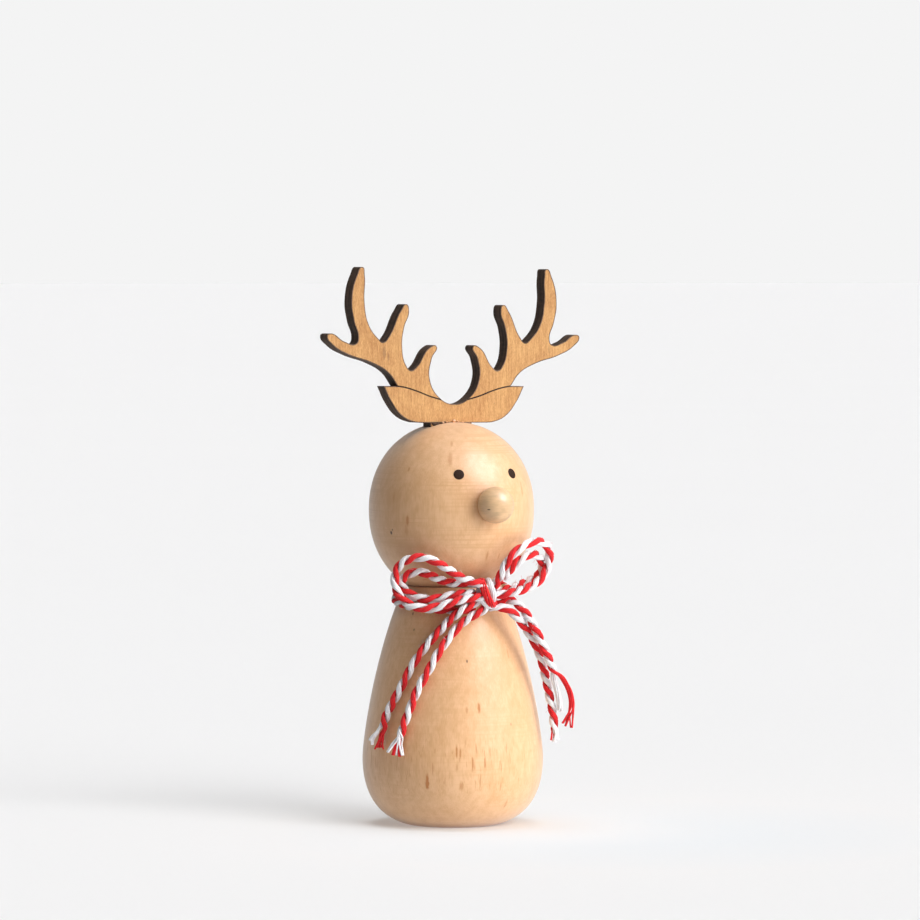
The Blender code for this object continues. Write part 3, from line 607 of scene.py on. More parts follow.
def nose_finish(crack):
    """Polished greyish peg with a little grain and one small crack."""
    face = settings().deer_face
    finish = new_finish("nose_wood")
    cloud = finish.noise((0.40, 0.12, 0.40), 3.0)
    grain = finish.noise((0.5, 0.35, 2.6), 3.0)
    depth = finish.ramp(0.60 * cloud + 0.40 * grain, (0.36, 0.0), (0.66, 1.0))
    base = finish.mix(depth, shade(face.nose_wood, 1.12), shade(face.nose_wood, 0.80))
    cracked = spots_mask(finish, ((crack, 0.0, NOSE_CRACK_SIZE, 1.0),), 0.5)
    base = finish.mix(cracked, base, tuple(settings().deer_wood.pit))
    return finish.close({
        "Base Color": base, "Roughness": 0.36 + 0.10 * grain, "Coat Weight": 0.30, "Coat Roughness": 0.22,
        "Normal": finish.bump(grain, 0.05, 0.1 * MM)})


def eye_finish():
    """Black paint, a little uneven."""
    face = settings().deer_face
    finish = new_finish("eye_paint")
    cloud = finish.noise((2.0, 2.0, 2.0), 3.0)
    base = finish.mix(cloud, tuple(face.eye_black), shade(face.eye_black, 2.0))
    return finish.close({"Base Color": base, "Roughness": 0.50 + 0.2 * cloud, "Specular IOR Level": 0.1,
                         "Normal": finish.bump(cloud, 0.15, 0.1 * MM)})


def yarn_finish(name, colour):
    """Soft cotton yarn with fine fibres."""
    finish = new_finish(name)
    fibre = finish.noise((7.0, 7.0, 7.0), 3.0)
    cloud = finish.noise((0.8, 0.8, 0.8), 2.0)
    depth = finish.ramp(0.5 * fibre + 0.5 * cloud, (0.35, 0.0), (0.65, 1.0))
    light = tuple(min(part, 0.9) for part in shade(colour, 1.06))
    base = finish.mix(depth, shade(colour, 0.84), light)
    return finish.close({
        "Base Color": base, "Roughness": 0.82 + 0.12 * fibre, "Sheen Weight": 0.14, "Specular IOR Level": 0.2,
        "Normal": finish.bump(fibre, 0.35, 0.06 * MM)})


def new_object(name, data):
    """An object in the scene, at the origin."""
    made = bpy.data.objects.new(name, data)
    bpy.context.scene.collection.objects.link(made)
    return made


def finished_mesh(item):
    """The mesh that an object's modifiers or its curve make."""
    bpy.context.view_layer.update()
    graph = bpy.context.evaluated_depsgraph_get()
    return bpy.data.meshes.new_from_object(item.evaluated_get(graph))


def add_piece(name, mesh, materials, slot, *nodes):
    """Put a finished mesh in the scene, riding on the figure and standing for its solids."""
    piece = new_object(name, mesh)
    for index, material in enumerate(materials):
        if index < len(mesh.materials):
            mesh.materials[index] = material
        else:
            mesh.materials.append(material)
    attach(piece, "root")
    if nodes:
        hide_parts(*nodes)
    return piece


def plain_mesh(name, shape):
    """A shape made a mesh, and the shape let go."""
    mesh = bpy.data.meshes.new(name)
    shape.to_mesh(mesh)
    shape.free()
    return mesh


def smoothed(mesh, sharp_angle=SHARP):
    """The mesh shaded smooth, with its edges kept."""
    mesh.shade_smooth()
    mesh.set_sharp_from_angle(angle=sharp_angle)
    return mesh


def welded(mesh):
    """A shape from a mesh whose faces share their corners."""
    shape = bmesh.new()
    shape.from_mesh(mesh)
    bmesh.ops.remove_doubles(shape, verts=shape.verts, dist=WELD)
    return shape


def turned(outline, steps):
    """Spin a side outline, given from axis to axis, into a closed round shape."""
    shape = bmesh.new()
    corners = [shape.verts.new((radius, 0.0, height)) for radius, height in outline]
    edges = [shape.edges.new(pair) for pair in zip(corners, corners[1:])]
    bmesh.ops.spin(shape, geom=corners + edges, cent=(0, 0, 0), axis=(0, 0, 1), dvec=(0, 0, 0),
                   angle=2 * math.pi, steps=steps, use_merge=True, use_duplicate=False)
    bmesh.ops.remove_doubles(shape, verts=shape.verts, dist=WELD / 2)
    bmesh.ops.recalc_face_normals(shape, faces=shape.faces)
    return shape


def round_rims(shape, heights, width):
    """Soften the sharp rings at these heights."""
    rims = []
    for edge in shape.edges:
        levels = [corner.co.z for corner in edge.verts]
        here = any(abs(levels[0] - height) < WELD for height in heights)
        if here and abs(levels[0] - levels[1]) < WELD and edge.calc_face_angle(0.0) > SHARP:
            rims.append(edge)
    bmesh.ops.bevel(shape, geom=rims, offset=width, affect="EDGES", segments=3, profile=0.5, material=-1)


def bezier(start, leave, arrive, end, count):
    """Points along one cubic curve, both ends included."""
    points = []
    for index in range(count):
        t = index / (count - 1)
        s = 1 - t
        weights = (s ** 3, 3 * s * s * t, 3 * s * t * t, t ** 3)
        corners = (start, leave, arrive, end)
        points.append(tuple(sum(w * c[axis] for w, c in zip(weights, corners)) for axis in range(2)))
    return points


def body_outline():
    """Radius and height down the body's side, from the neck to the base."""
    wood = settings().deer_wood
    neck = (wood.neck_radius, BODY_HEIGHT)
    shoulder = (wood.neck_radius + wood.shoulder_spread, BODY_HEIGHT - wood.shoulder_drop)
    belly = (wood.belly_radius, wood.belly_height)
    above = (wood.belly_radius, wood.belly_height + wood.belly_rise)
    below = (wood.belly_radius, wood.belly_height - wood.belly_fall)
    foot = (wood.base_radius + wood.base_spread, wood.base_lift)
    base = (wood.base_radius, 0.0)
    upper = bezier(neck, shoulder, above, belly, 48)
    return upper + bezier(belly, below, foot, base, 30)[1:]


def body_radius_at(height):
    """Radius of the body's side at a height."""
    outline = body_outline()
    for (upper, above), (lower, below) in zip(outline, outline[1:]):
        if below <= height <= above:
            return upper + (lower - upper) * (above - height) / (above - below)
    raise ValueError("no body at that height")


def head_centre():
    return HEAD_TOP - settings().deer_wood.head_half_height


def head_radius_at(height):
    wood = settings().deer_wood
    share = min(abs(height - head_centre()) / wood.head_half_height, 1.0)
    return wood.head_radius * (1 - share ** wood.head_fullness) ** (1 / wood.head_fullness)


def head_slope_at(height):
    """Angle above level at which the head faces at a height."""
    wood = settings().deer_wood
    power = wood.head_fullness - 1
    rise = height - head_centre()
    outward = (head_radius_at(height) / wood.head_radius) ** power / wood.head_radius
    upward = (abs(rise) / wood.head_half_height) ** power / wood.head_half_height
    return math.atan2(math.copysign(upward, rise), outward)


def head_outline():
    """Radius and height down the head's side, from the crown to the neck."""
    wood = settings().deer_wood
    lowest = BODY_HEIGHT + wood.seam_gap
    share = (head_centre() - lowest) / wood.head_half_height
    last = -math.asin(share ** (wood.head_fullness / 2))
    count = 72
    points = []
    for index in range(count + 1):
        angle = math.pi / 2 + (last - math.pi / 2) * index / count
        power = 2 / wood.head_fullness
        radius = wood.head_radius * max(math.cos(angle), 0.0) ** power
        rise = math.copysign(wood.head_half_height * abs(math.sin(angle)) ** power, angle)
        points.append((radius, head_centre() + rise))
    points[0] = (0.0, HEAD_TOP)
    points[-1] = (points[-1][0], lowest)
    return points


def drill(mesh, name, cutter_shape, place, materials=()):
    """The mesh with the cutter's shape taken out of it."""
    cutter_mesh = plain_mesh(name, cutter_shape)
    cutter_mesh.transform(place)
    for material in materials:
        cutter_mesh.materials.append(material)
    work = new_object(name + "_work", mesh)
    cutter = new_object(name, cutter_mesh)
    boolean = work.modifiers.new(name, "BOOLEAN")
    boolean.operation = "DIFFERENCE"
    boolean.material_mode = "TRANSFER"
    boolean.object = cutter
    result = finished_mesh(work)
    for item in (work, cutter):
        bpy.data.objects.remove(item)
    return result


def rod(radius, low, high):
    """A round bar on the Z axis, to drill with."""
    shape = bmesh.new()
    bmesh.ops.create_cone(shape, cap_ends=True, segments=HOLE_SIDES, radius1=radius, radius2=radius,
                          depth=high - low, matrix=Matrix.Translation((0, 0, (low + high) / 2)))
    return shape


class DEER_OT_body(bpy.types.Operator):
    """Turn the body with its foot and the bore for the dowel"""

    bl_idname = "deer.body"
    bl_label = "Body"

    def execute(self, context):
        wood = context.scene.deer_wood
        bore = wood.dowel_radius + wood.fit_gap
        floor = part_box("neck_dowel")[0].z - wood.fit_gap
        outline = [(0.0, floor), (bore, floor), (bore, BODY_HEIGHT)] + body_outline() + [(0.0, 0.0)]
        shape = turned(outline, wood.turn_steps)
        round_rims(shape, (BODY_HEIGHT, 0.0), wood.edge_round)
        flecks = turned_spots(BODY_FLECKS, body_radius_at)
        pits = turned_spots(BODY_PITS, body_radius_at)
        finish = wood_finish("body_wood", lathe=0.40, flecks=flecks, pits=pits, dashes=BODY_DASHES)
        mesh = smoothed(plain_mesh("turned_body", shape))
        add_piece("turned_body", mesh, [finish], "pale_wood", "body")
        return {"FINISHED"}


class DEER_OT_head(bpy.types.Operator):
    """Turn the head and cut its slot, nose hole and eye seats"""

    bl_idname = "deer.head"
    bl_label = "Head"

    def execute(self, context):
        wood = context.scene.deer_wood
        face = context.scene.deer_face
        bore = wood.dowel_radius + wood.fit_gap
        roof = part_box("neck_dowel")[1].z + wood.fit_gap
        lowest = BODY_HEIGHT + wood.seam_gap
        outline = head_outline() + [(bore, lowest), (bore, roof), (0.0, roof)]
        shape = turned(outline, wood.turn_steps)
        round_rims(shape, (lowest,), wood.edge_round)
        mesh = smoothed(plain_mesh("turned_head", shape))
        mesh = drill(mesh, "slot", self.slot(context), plate_sit())
        hole = rod(face.peg_radius + wood.fit_gap, -face.peg_reach - wood.fit_gap, face.nose_radius)
        mesh = drill(mesh, "nose_hole", hole, nose_place())
        for side in (-1, 1):
            seat = rod(face.eye_radius + EYE_CLEAR, -face.eye_depth - wood.fit_gap, EYE_CUT)
            mesh = drill(mesh, "eye_seat", seat, eye_place(side))
        smoothed(mesh).transform(head_sit())
        flecks = turned_spots(HEAD_FLECKS, head_radius_at)
        pits = turned_spots(HEAD_PITS, head_radius_at)
        finish = wood_finish("head_wood", lathe=1.0, flecks=flecks, pits=pits)
        add_piece("turned_head", mesh, [finish], "pale_wood", "head")
        return {"FINISHED"}

    def slot(self, context):
        plate = context.scene.deer_plate
        low = PLATE_BOX[0].z - context.scene.deer_wood.fit_gap
        high = HEAD_TOP + SLOT_RISE
        shape = bmesh.new()
        bmesh.ops.create_cube(shape, size=1.0)
        size = (plate.tab_width + 2 * plate.slot_gap, PLATE_THICKNESS + 2 * plate.slot_gap, high - low)
        bmesh.ops.scale(shape, vec=size, verts=shape.verts)
        bmesh.ops.translate(shape, vec=(plate.tab_shift, 0, (low + high) / 2), verts=shape.verts)
        return shape


def head_sit():
    """Where the glued head really sits on the body."""
    return Matrix.Translation(settings().deer_wood.head_shift)


def plate_sit():
    """How the plate sits in the head: a touch aside, turned and rolled about its foot."""
    plate = settings().deer_plate
    foot = Matrix.Translation((0, 0, HEAD_TOP))
    aside = Matrix.Translation((plate.plate_shift, 0, 0))
    turn = Matrix.Rotation(plate.plate_turn, 4, "Z")
    roll = Matrix.Rotation(plate.plate_roll, 4, "Y")
    return aside @ foot @ turn @ roll @ foot.inverted()


class DEER_OT_dowel(bpy.types.Operator):
    """Finish the dowel hidden in the neck"""

    bl_idname = "deer.dowel"
    bl_label = "Neck dowel"

    def execute(self, context):
        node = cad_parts["neck_dowel"]
        node.data.materials.clear()
        node.data.materials.append(wood_finish("dowel_wood"))
        return {"FINISHED"}


def nose_place():
    """Frame at the nose's centre with its Z forward, from where the nose's solid is."""
    low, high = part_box("nose")
    radius = settings().deer_face.nose_radius
    middle = (low.z + high.z) / 2
    return Matrix.Translation((0, low.y + radius, middle)) @ FORWARD


def eye_place(side):
    """Frame on the head at an eye with its Z straight out of the wood."""
    face = settings().deer_face
    spin = Matrix.Rotation(side * face.eye_angle, 4, "Z")
    tilt = Matrix.Rotation(-head_slope_at(face.eye_height), 4, "X")
    out = Matrix.Translation((0, -head_radius_at(face.eye_height), face.eye_height))
    return spin @ out @ tilt @ FORWARD


class DEER_OT_face(bpy.types.Operator):
    """Make the nose peg and the two eyes"""

    bl_idname = "deer.face"
    bl_label = "Nose and eyes"

    def execute(self, context):
        face = context.scene.deer_face
        self.nose(context, face)
        paint = eye_finish()
        for side, name in ((-1, "left_eye"), (1, "right_eye")):
            self.eye(face, side, name, paint)
        return {"FINISHED"}

    def nose(self, context, face):
        count = 28
        last = -math.asin(face.nose_seat / face.nose_radius)
        outline = [(0.0, face.nose_radius)]
        for index in range(1, count + 1):
            angle = math.pi / 2 + (last - math.pi / 2) * index / count
            outline.append((face.nose_radius * math.cos(angle), face.nose_radius * math.sin(angle)))
        outline += [(face.peg_radius, -face.nose_seat), (face.peg_radius, -face.peg_reach)]
        outline.append((0.0, -face.peg_reach))
        place = head_sit() @ nose_place()
        shape = turned(outline, 64)
        round_rims(shape, (-face.nose_seat,), face.nose_rounding)
        mesh = smoothed(plain_mesh("nose_peg", shape))
        mesh.transform(place)
        right, front = camera_axes(context)
        aside, above = (part * MM for part in NOSE_CRACK)
        forward = math.sqrt(face.nose_radius ** 2 - aside ** 2 - above ** 2)
        crack = place.translation + right * aside + front * forward + Vector((0, 0, above))
        add_piece("nose_peg", mesh, [nose_finish(crack)], "nose_wood", "nose")

    def eye(self, face, side, name, paint):
        """A thin disc with a softly crowned front."""
        outline = [(out * face.eye_radius, up * face.eye_crown) for out, up in EYE_PROFILE]
        outline += [(face.eye_radius, -face.eye_depth), (0.0, -face.eye_depth)]
        mesh = smoothed(plain_mesh(name + "_dot", turned(outline, 40)))
        mesh.transform(head_sit() @ eye_place(side))
        add_piece(name + "_dot", mesh, [paint], "eye_black", name)


class DEER_OT_antlers(bpy.types.Operator):
    """Cut the antler plate, brown its rim and score the ear lines"""

    bl_idname = "deer.antlers"
    bl_label = "Antler plate"

    def execute(self, context):
        plate = context.scene.deer_plate
        edge = self.lower_edge()
        sheet = plate_finish(edge)
        char = char_finish("burnt_edge", lightness=1.0)
        rim = char_finish("browned_rim", lightness=3.0)
        upright = Matrix.Translation((0, 0, edge)) @ FORWARD
        mesh = self.cut_sheet(plate)
        mesh.transform(upright)
        looks = (sheet, char, rim)
        for look in looks:
            mesh.materials.append(look)
        mesh = drill(mesh, "score", self.score(plate), upright, looks)
        smoothed(mesh, PLATE_SHARP)
        for face in mesh.polygons:
            face.use_smooth = abs(face.normal.y) < 0.99
        sit = head_sit() @ plate_sit()
        mesh.transform(sit)
        add_piece("antler_sheet", mesh, looks, "plate_wood", "antler_plate")
        self.crumbs(sit)
        return {"FINISHED"}

    def crumbs(self, sit):
        """Torn and burnt crumbs on the head, along the front of the plate."""
        draw = random.Random(7)
        shape = bmesh.new()
        for across, length, height, burnt in CRUMBS:
            crumb = bmesh.ops.create_icosphere(shape, subdivisions=2, radius=0.5)["verts"]
            for corner in crumb:
                corner.co *= draw.uniform(0.75, 1.15)
            bmesh.ops.scale(shape, vec=(length * MM, CRUMB_DEPTH, height * MM), verts=crumb)
            lean = Matrix.Rotation(draw.uniform(-0.4, 0.4), 3, "Y")
            drop = (across * MM) ** 2 / (HEAD_BOX[1].x - HEAD_BOX[0].x)
            bmesh.ops.rotate(shape, cent=(0, 0, 0), matrix=lean, verts=crumb)
            level = HEAD_TOP - drop + CRUMB_LIFT * height * MM
            rest = (across * MM, PLATE_BOX[0].y - CRUMB_FORWARD, level)
            bmesh.ops.translate(shape, vec=rest, verts=crumb)
            for face in {face for corner in crumb for face in corner.link_faces}:
                face.material_index = burnt
        mesh = smoothed(plain_mesh("slot_crumbs", shape))
        mesh.transform(sit)
        looks = [wood_finish("crumb_wood"), char_finish("burnt_crumbs", lightness=1.6)]
        add_piece("slot_crumbs", mesh, looks, "pale_wood")

    def lower_edge(self):
        """Height of the plate's lower edge, from the top of its tallest tine."""
        return PLATE_BOX[1].z - max(up for out, up in ANTLER_CURVE) * MM

    def cut_sheet(self, plate):
        tab_right = (plate.tab_shift + plate.tab_width / 2) / MM
        tab_left = (plate.tab_shift - plate.tab_width / 2) / MM
        foot = (PLATE_BOX[0].z - self.lower_edge()) / MM
        right = [(point, "AUTO") for point in ANTLER_CURVE]
        right += [(point, "VECTOR") for point in (EAR_ROOT, EAR_TIP)]
        right += [(point, "AUTO") for point in EAR_CURVE] + [(EAR_END, "VECTOR")]
        left = [((-out, up), handle) for (out, up), handle in reversed(right)]
        corners = ((tab_right, 0.0), (tab_right, foot), (tab_left, foot), (tab_left, 0.0))
        tab = [(corner, "VECTOR") for corner in corners]
        curve = bpy.data.curves.new("antler_outline", "CURVE")
        curve.dimensions = "2D"
        curve.fill_mode = "BOTH"
        curve.extrude = PLATE_THICKNESS / 2
        curve.resolution_u = 8
        spline = curve.splines.new("BEZIER")
        outline = [(CUP_BOTTOM, "AUTO")] + right + tab + left
        spline.bezier_points.add(len(outline) - 1)
        spline.use_cyclic_u = True
        for knot, ((out, up), handle) in zip(spline.bezier_points, outline):
            knot.co = (out * MM, up * MM, 0.0)
            knot.handle_left_type = handle
            knot.handle_right_type = handle
        return self.browned(curve_to_mesh(curve), plate.scorch_width)

    def browned(self, mesh, width):
        """One face front and back with a narrow browned rim, and burnt walls between."""
        shape = welded(mesh)
        flat = [face for face in shape.faces if lies_flat(face)]
        inner = [edge for face in flat for edge in face.edges if all(map(lies_flat, edge.link_faces))]
        bmesh.ops.dissolve_edges(shape, edges=list(set(inner)), use_verts=False)
        for face in shape.faces:
            face.material_index = 0 if lies_flat(face) else 1
        flat = [face for face in shape.faces if lies_flat(face)]
        rim = bmesh.ops.inset_individual(shape, faces=flat, thickness=width, use_even_offset=True)
        for face in rim["faces"]:
            face.material_index = 2
        bmesh.ops.recalc_face_normals(shape, faces=shape.faces)
        return plain_mesh("antler_sheet", shape)

    def score(self, plate):
        """Thin round bars lying along both ear lines in the front face, to be cut out."""
        routes = []
        for side in (-1, 1):
            route = [Vector((side * out * MM, up * MM, PLATE_THICKNESS / 2)) for out, up in SCORED_LINE]
            routes.append(smooth_curve(route, 8))
        shape = welded(tube_mesh(routes, [plate.score_radius] * 2, [1, 1], 2))
        bmesh.ops.recalc_face_normals(shape, faces=shape.faces)
        return shape


def lies_flat(face):
    """Whether a face of the lying sheet is part of its front or back."""
    return abs(face.normal.z) > 0.9


def curve_to_mesh(curve):
    """A curve's finished surface as a mesh, with the curve removed."""
    holder = new_object(curve.name, curve)
    mesh = finished_mesh(holder)
    bpy.data.objects.remove(holder)
    bpy.data.curves.remove(curve)
    return mesh


def tube_mesh(lines, radii, looks, roundness):
    """Round tubes along lines of points, joined in one mesh, each with its own look."""
    curve = bpy.data.curves.new("tubes", "CURVE")
    curve.dimensions = "3D"
    curve.bevel_depth = 1.0
    curve.bevel_resolution = roundness
    curve.use_fill_caps = True
    for look in range(max(looks) + 1):
        curve.materials.append(None)
    for line, radius, look in zip(lines, radii, looks):
        spline = curve.splines.new("POLY")
        spline.points.add(len(line) - 1)
        spline.material_index = look
        spline.use_smooth = True
        for knot, point in zip(spline.points, line):
            knot.co = (point.x, point.y, point.z, 1.0)
            knot.radius = radius
    return curve_to_mesh(curve)


def around(angle, radius, height):
    """Point at an angle round from the front, positive to the right."""
    return Vector((radius * math.sin(angle), -radius * math.cos(angle), height))


def smooth_curve(route, pieces):
    """Dense points of a flowing curve through the route's points."""
    ends = [2 * route[0] - route[1]] + route + [2 * route[-1] - route[-2]]
    points = []
    for a, b, c, d in zip(ends, ends[1:], ends[2:], ends[3:]):
        for index in range(pieces):
            t = index / pieces
            points.append(0.5 * (2 * b + (c - a) * t + (2 * a - 5 * b + 4 * c - d) * t ** 2
                                 + (3 * b - a - 3 * c + d) * t ** 3))
    return points + [route[-1]]


def evenly(points, step):
    """Points read from a dense curve at even steps, ends kept."""
    travelled = [0.0]
    for first, second in zip(points, points[1:]):
        travelled.append(travelled[-1] + (second - first).length)
    count = max(round(travelled[-1] / step), 1)
    chosen = []
    place = 0
    for index in range(count):
        target = travelled[-1] * index / count
        while travelled[place + 1] < target:
            place += 1
        share = (target - travelled[place]) / (travelled[place + 1] - travelled[place])
        chosen.append(points[place].lerp(points[place + 1], share))
    return chosen + [points[-1]]


def line_length(points):
    return sum((second - first).length for first, second in zip(points, points[1:]))


def wood_outline():
    """Points down the side of body and head that a twine can rest on."""
    return body_outline() + head_outline()


def resting_radius(height, distance, outline):
    """Least radius at which a point at this height keeps its distance from the turned wood."""
    reaches = []
    for radius, level in outline:
        if abs(level - height) < distance:
            reaches.append(radius + math.sqrt(distance ** 2 - (level - height) ** 2))
    return max(reaches)


def camera_axes(context):
    """Directions to the right of the picture and out of it towards the viewer."""
    turn = context.scene.deer_stage.turn
    return Vector((math.cos(turn), math.sin(turn), 0.0)), around(turn, 1.0, 0.0)


def twist_frames(points):
    """For each point of a line, the direction along it and a sideways direction that never spins."""
    frames = []
    aside = None
    for index in range(len(points)):
        before = points[max(index - 1, 0)]
        after = points[min(index + 1, len(points) - 1)]
        along = (after - before).normalized()
        if aside is None:
            aside = along.orthogonal()
        aside = (aside - aside.dot(along) * along).normalized()
        frames.append((along, aside))
    return frames


class Twine:
    """Two plies of yarns twisted round a line, with loose ends where asked."""

    step = 0.3 * MM
    yarn_pitches = 6
    fray = 3.2 * MM
    fuzz_every = 3.0 * MM
    fuzz_root = 0.6 * MM
    fuzz_rise = 0.7 * MM
    fuzz_sweep = 0.9 * MM
    fuzz_radius = 0.018 * MM

    def __init__(self, context, points, fronts=(), turn=0.0, loose=None, seed=0, snug=1.0):
        self.twine = context.scene.deer_twine
        self.right, self.front = camera_axes(context)
        self.line = evenly(points, self.step)
        self.length = line_length(self.line)
        self.gap = self.length / (len(self.line) - 1)
        self.frames = twist_frames(self.line)
        self.twist = self.twist_plan(fronts, turn)
        self.loose = loose
        self.snug = snug
        self.slope = self.wood_slope()
        self.draw = random.Random(seed)

    def twist_plan(self, fronts, turn):
        """Twist at each point of the line: even, or with the red ply to the viewer at each front."""
        full = 2 * math.pi
        rate = -full * self.gap / self.twine.pitch
        last = len(self.line) - 1
        if not fronts:
            return [turn + rate * index for index in range(last + 1)]
        places = [round(front * MM / self.gap) for front in fronts]
        angles = []
        for place in places:
            along, aside = self.frames[place]
            facing = math.atan2(self.front.dot(along.cross(aside)), self.front.dot(aside))
            if angles:
                change = (facing - angles[-1] + math.pi) % full - math.pi
                facing = angles[-1] + change - full
            angles.append(facing)
        angles = [angles[0] - rate * places[0]] + angles + [angles[-1] + rate * (last - places[-1])]
        return numpy.interp(range(last + 1), [0] + places + [last], angles)

    def wood_slope(self):
        """How far the wood under the twine's end comes forward for each step to the right."""
        end = self.line[-1]
        tangent = Vector((-end.y, end.x, 0.0)).normalized()
        across = tangent.dot(self.right)
        return tangent.dot(self.front) / across if across > 0.6 else 0.0

    def ply_paths(self, ply):
        """Lines of all yarns in one ply."""
        return [self.yarn(ply, number) for number in range(self.twine.yarns)]

    def yarn(self, ply, number):
        """The line of one yarn, on to its strand's own end where the twine is loose."""
        ring = 2 * math.pi * number / self.twine.yarns
        strands = self.loose[3 + ply] if self.loose else ()
        strand = strands[number % len(strands)] if strands else None
        reach = self.length + (strand[1] * MM if strand else 0.0)
        points = []
        for index in range(int(reach / self.gap + 0.01) + 1):
            points.append(self.point(ply, ring, index, strand))
        return points

    def point(self, ply, ring, index, strand):
        """A yarn's place at one step along: held in its twisted ply, or loosened from it."""
        at = min(index, len(self.line) - 1)
        along, aside = self.frames[at]
        centre = self.line[at] + along * (index - at) * self.gap
        twist = self.twist[at] + ply * math.pi
        outward = math.cos(twist) * aside + math.sin(twist) * along.cross(aside)
        ring += 2 * math.pi * index * self.gap / (self.yarn_pitches * self.twine.pitch)
        held = outward * (self.twine.ply_offset + self.twine.ply_depth * math.cos(ring))
        held += along.cross(outward) * self.twine.ply_breadth * math.sin(ring)
        held *= self.snug
        if not strand:
            return centre + held
        return centre + self.loosened(held, ply, ring, index * self.gap, strand)

    def loosened(self, held, ply, ring, travelled, strand):
        """The plies part over the loose stretch, and each ply's strands splay near its end."""
        back, split, bow = (length * MM for length in self.loose[:3])
        strands = self.loose[3 + ply]
        middle = sum(aside for aside, along in strands) / len(strands) * MM
        beyond = strand[1] * MM
        past = travelled - self.length
        parted = ease((past + back) / self.fray)
        splayed = min(max((past + split) / (split + beyond), 0.0), 1.0) ** 1.3
        aside = middle * parted + (strand[0] * MM - middle) * splayed
        if ply == 0:
            share = min(max((past + back) / (back + beyond), 0.0), 1.0)
            aside += bow * math.sin(math.pi * share ** 1.1)
        across = math.cos(ring) * self.right
        deep = math.sin(ring) * self.front
        whole = self.twine.ply_breadth * across + self.twine.ply_depth * deep
        single = self.twine.bundle * (across + deep)
        gathered = held.lerp(whole.lerp(single, splayed), parted)
        return gathered + self.right * aside + self.front * self.slope * max(aside, 0.0)

    def mesh(self):
        lines = self.ply_paths(0) + self.ply_paths(1)
        looks = [0] * self.twine.yarns + [1] * self.twine.yarns
        radii = [self.snug * self.twine.yarn_radius * self.draw.uniform(0.9, 1.1) for line in lines]
        self.add_fuzz(lines, radii, looks)
        return tube_mesh(lines, radii, looks, 1)

    def add_fuzz(self, lines, radii, looks):
        """A few stray fibres standing off the twine."""
        for count in range(int(self.length / self.fuzz_every)):
            index = self.draw.randrange(len(self.line))
            along, aside = self.frames[index]
            over = along.cross(aside)
            turn = self.draw.uniform(0, 2 * math.pi)
            outward = math.cos(turn) * aside + math.sin(turn) * over
            sweep = along * self.draw.uniform(-1, 1) + over * self.draw.uniform(-0.6, 0.6)
            root = self.line[index] + outward * self.fuzz_root
            hair = []
            for part in range(6):
                t = part / 5
                hair.append(root + outward * self.fuzz_rise * t + sweep * self.fuzz_sweep * t * t)
            lines.append(hair)
            radii.append(self.fuzz_radius)
            looks.append(1 if self.draw.random() < 0.6 else 0)


def ease(share):
    share = min(max(share, 0.0), 1.0)
    return share * share * (3 - 2 * share)


class DEER_OT_twine(bpy.types.Operator):
    """Tie the twine: two turns round the neck, the knot, the loops and the tails"""

    bl_idname = "deer.twine"
    bl_label = "Twine bow"

    def execute(self, context):
        twine = context.scene.deer_twine
        self.yarns = [yarn_finish("red_yarn", twine.red), yarn_finish("white_yarn", twine.white)]
        wood = wood_outline()
        knot = self.knot(context)
        self.neck_turns(context, wood)
        for index, (name, route) in enumerate(TWINE_ROUTES.items()):
            self.free_twine(context, name, route, wood, index, knot)
        return {"FINISHED"}

    def knot(self, context):
        """Parted plies wrapped over the front of the bow."""
        twine = context.scene.deer_twine
        right, front = camera_axes(context)
        middle = KNOT_CENTRE + right * KNOT_ASIDE
        lines, looks = [], []
        for ply, half_breadth, route in KNOT_STRANDS:
            points = []
            for aside, above, forward in route:
                points.append(middle + (right * aside + front * forward + Vector((0, 0, above))) * MM)
            line = evenly(smooth_curve(points, 12), KNOT_STEP)
            for number in range(KNOT_YARNS):
                ring = 2 * math.pi * number / KNOT_YARNS
                yarn = []
                for index, (along, aside) in enumerate(twist_frames(line)):
                    broad = (right - right.dot(along) * along).normalized()
                    turn = ring + KNOT_TWIST * index
                    outward = broad * half_breadth * MM * math.cos(turn)
                    outward += along.cross(broad) * twine.ply_depth * math.sin(turn)
                    yarn.append(line[index] + outward)
                lines.append(yarn)
                looks.append(ply)
        mesh = tube_mesh(lines, [twine.yarn_radius] * len(lines), looks, 1)
        return add_piece("tied_knot", mesh, self.yarns, "twine", "bow_knot")

    def neck_turns(self, context, wood):
        twine = context.scene.deer_twine
        stand_off = twine.diameter / 2
        for turn, name in enumerate(("neck_twine_upper", "neck_twine_lower")):
            points = []
            for step in range(NECK_STEPS + 1):
                angle = twine.neck_opening / 2 + (2 * math.pi - twine.neck_opening) * step / NECK_STEPS
                tilt = twine.neck_tilt * math.cos(angle - twine.neck_high_side)
                height = BODY_HEIGHT - twine.neck_drop - turn * twine.neck_spacing + tilt
                points.append(around(angle, resting_radius(height, stand_off, wood), height))
            mesh = Twine(context, points, turn=1.5 * turn, seed=40 + turn, snug=NECK_SNUG).mesh()
            add_piece(name + "_yarns", mesh, self.yarns, "twine", name)

    def free_twine(self, context, name, route, wood, index, knot):
        twine = context.scene.deer_twine
        stand_off = twine.diameter / 2 + TWINE_CLEAR
        points = []
        for degrees, above_neck, lift in route:
            height = BODY_HEIGHT + above_neck * MM
            radius = resting_radius(height, stand_off, wood) + lift * MM
            points.append(around(math.radians(degrees), radius, height))
        points = [points[0].lerp(KNOT_CENTRE, INTO_KNOT)] + points
        loop = "loop" in name
        if loop:
            points.append(points[-1].lerp(KNOT_CENTRE, INTO_KNOT))
        dense = smooth_curve(points, 12)
        cord = Twine(context, dense, RED_FRONTS[name], loose=LOOSE_ENDS.get(name), seed=index)
        piece = add_piece(name + "_yarns", cord.mesh(), self.yarns, "twine", name)


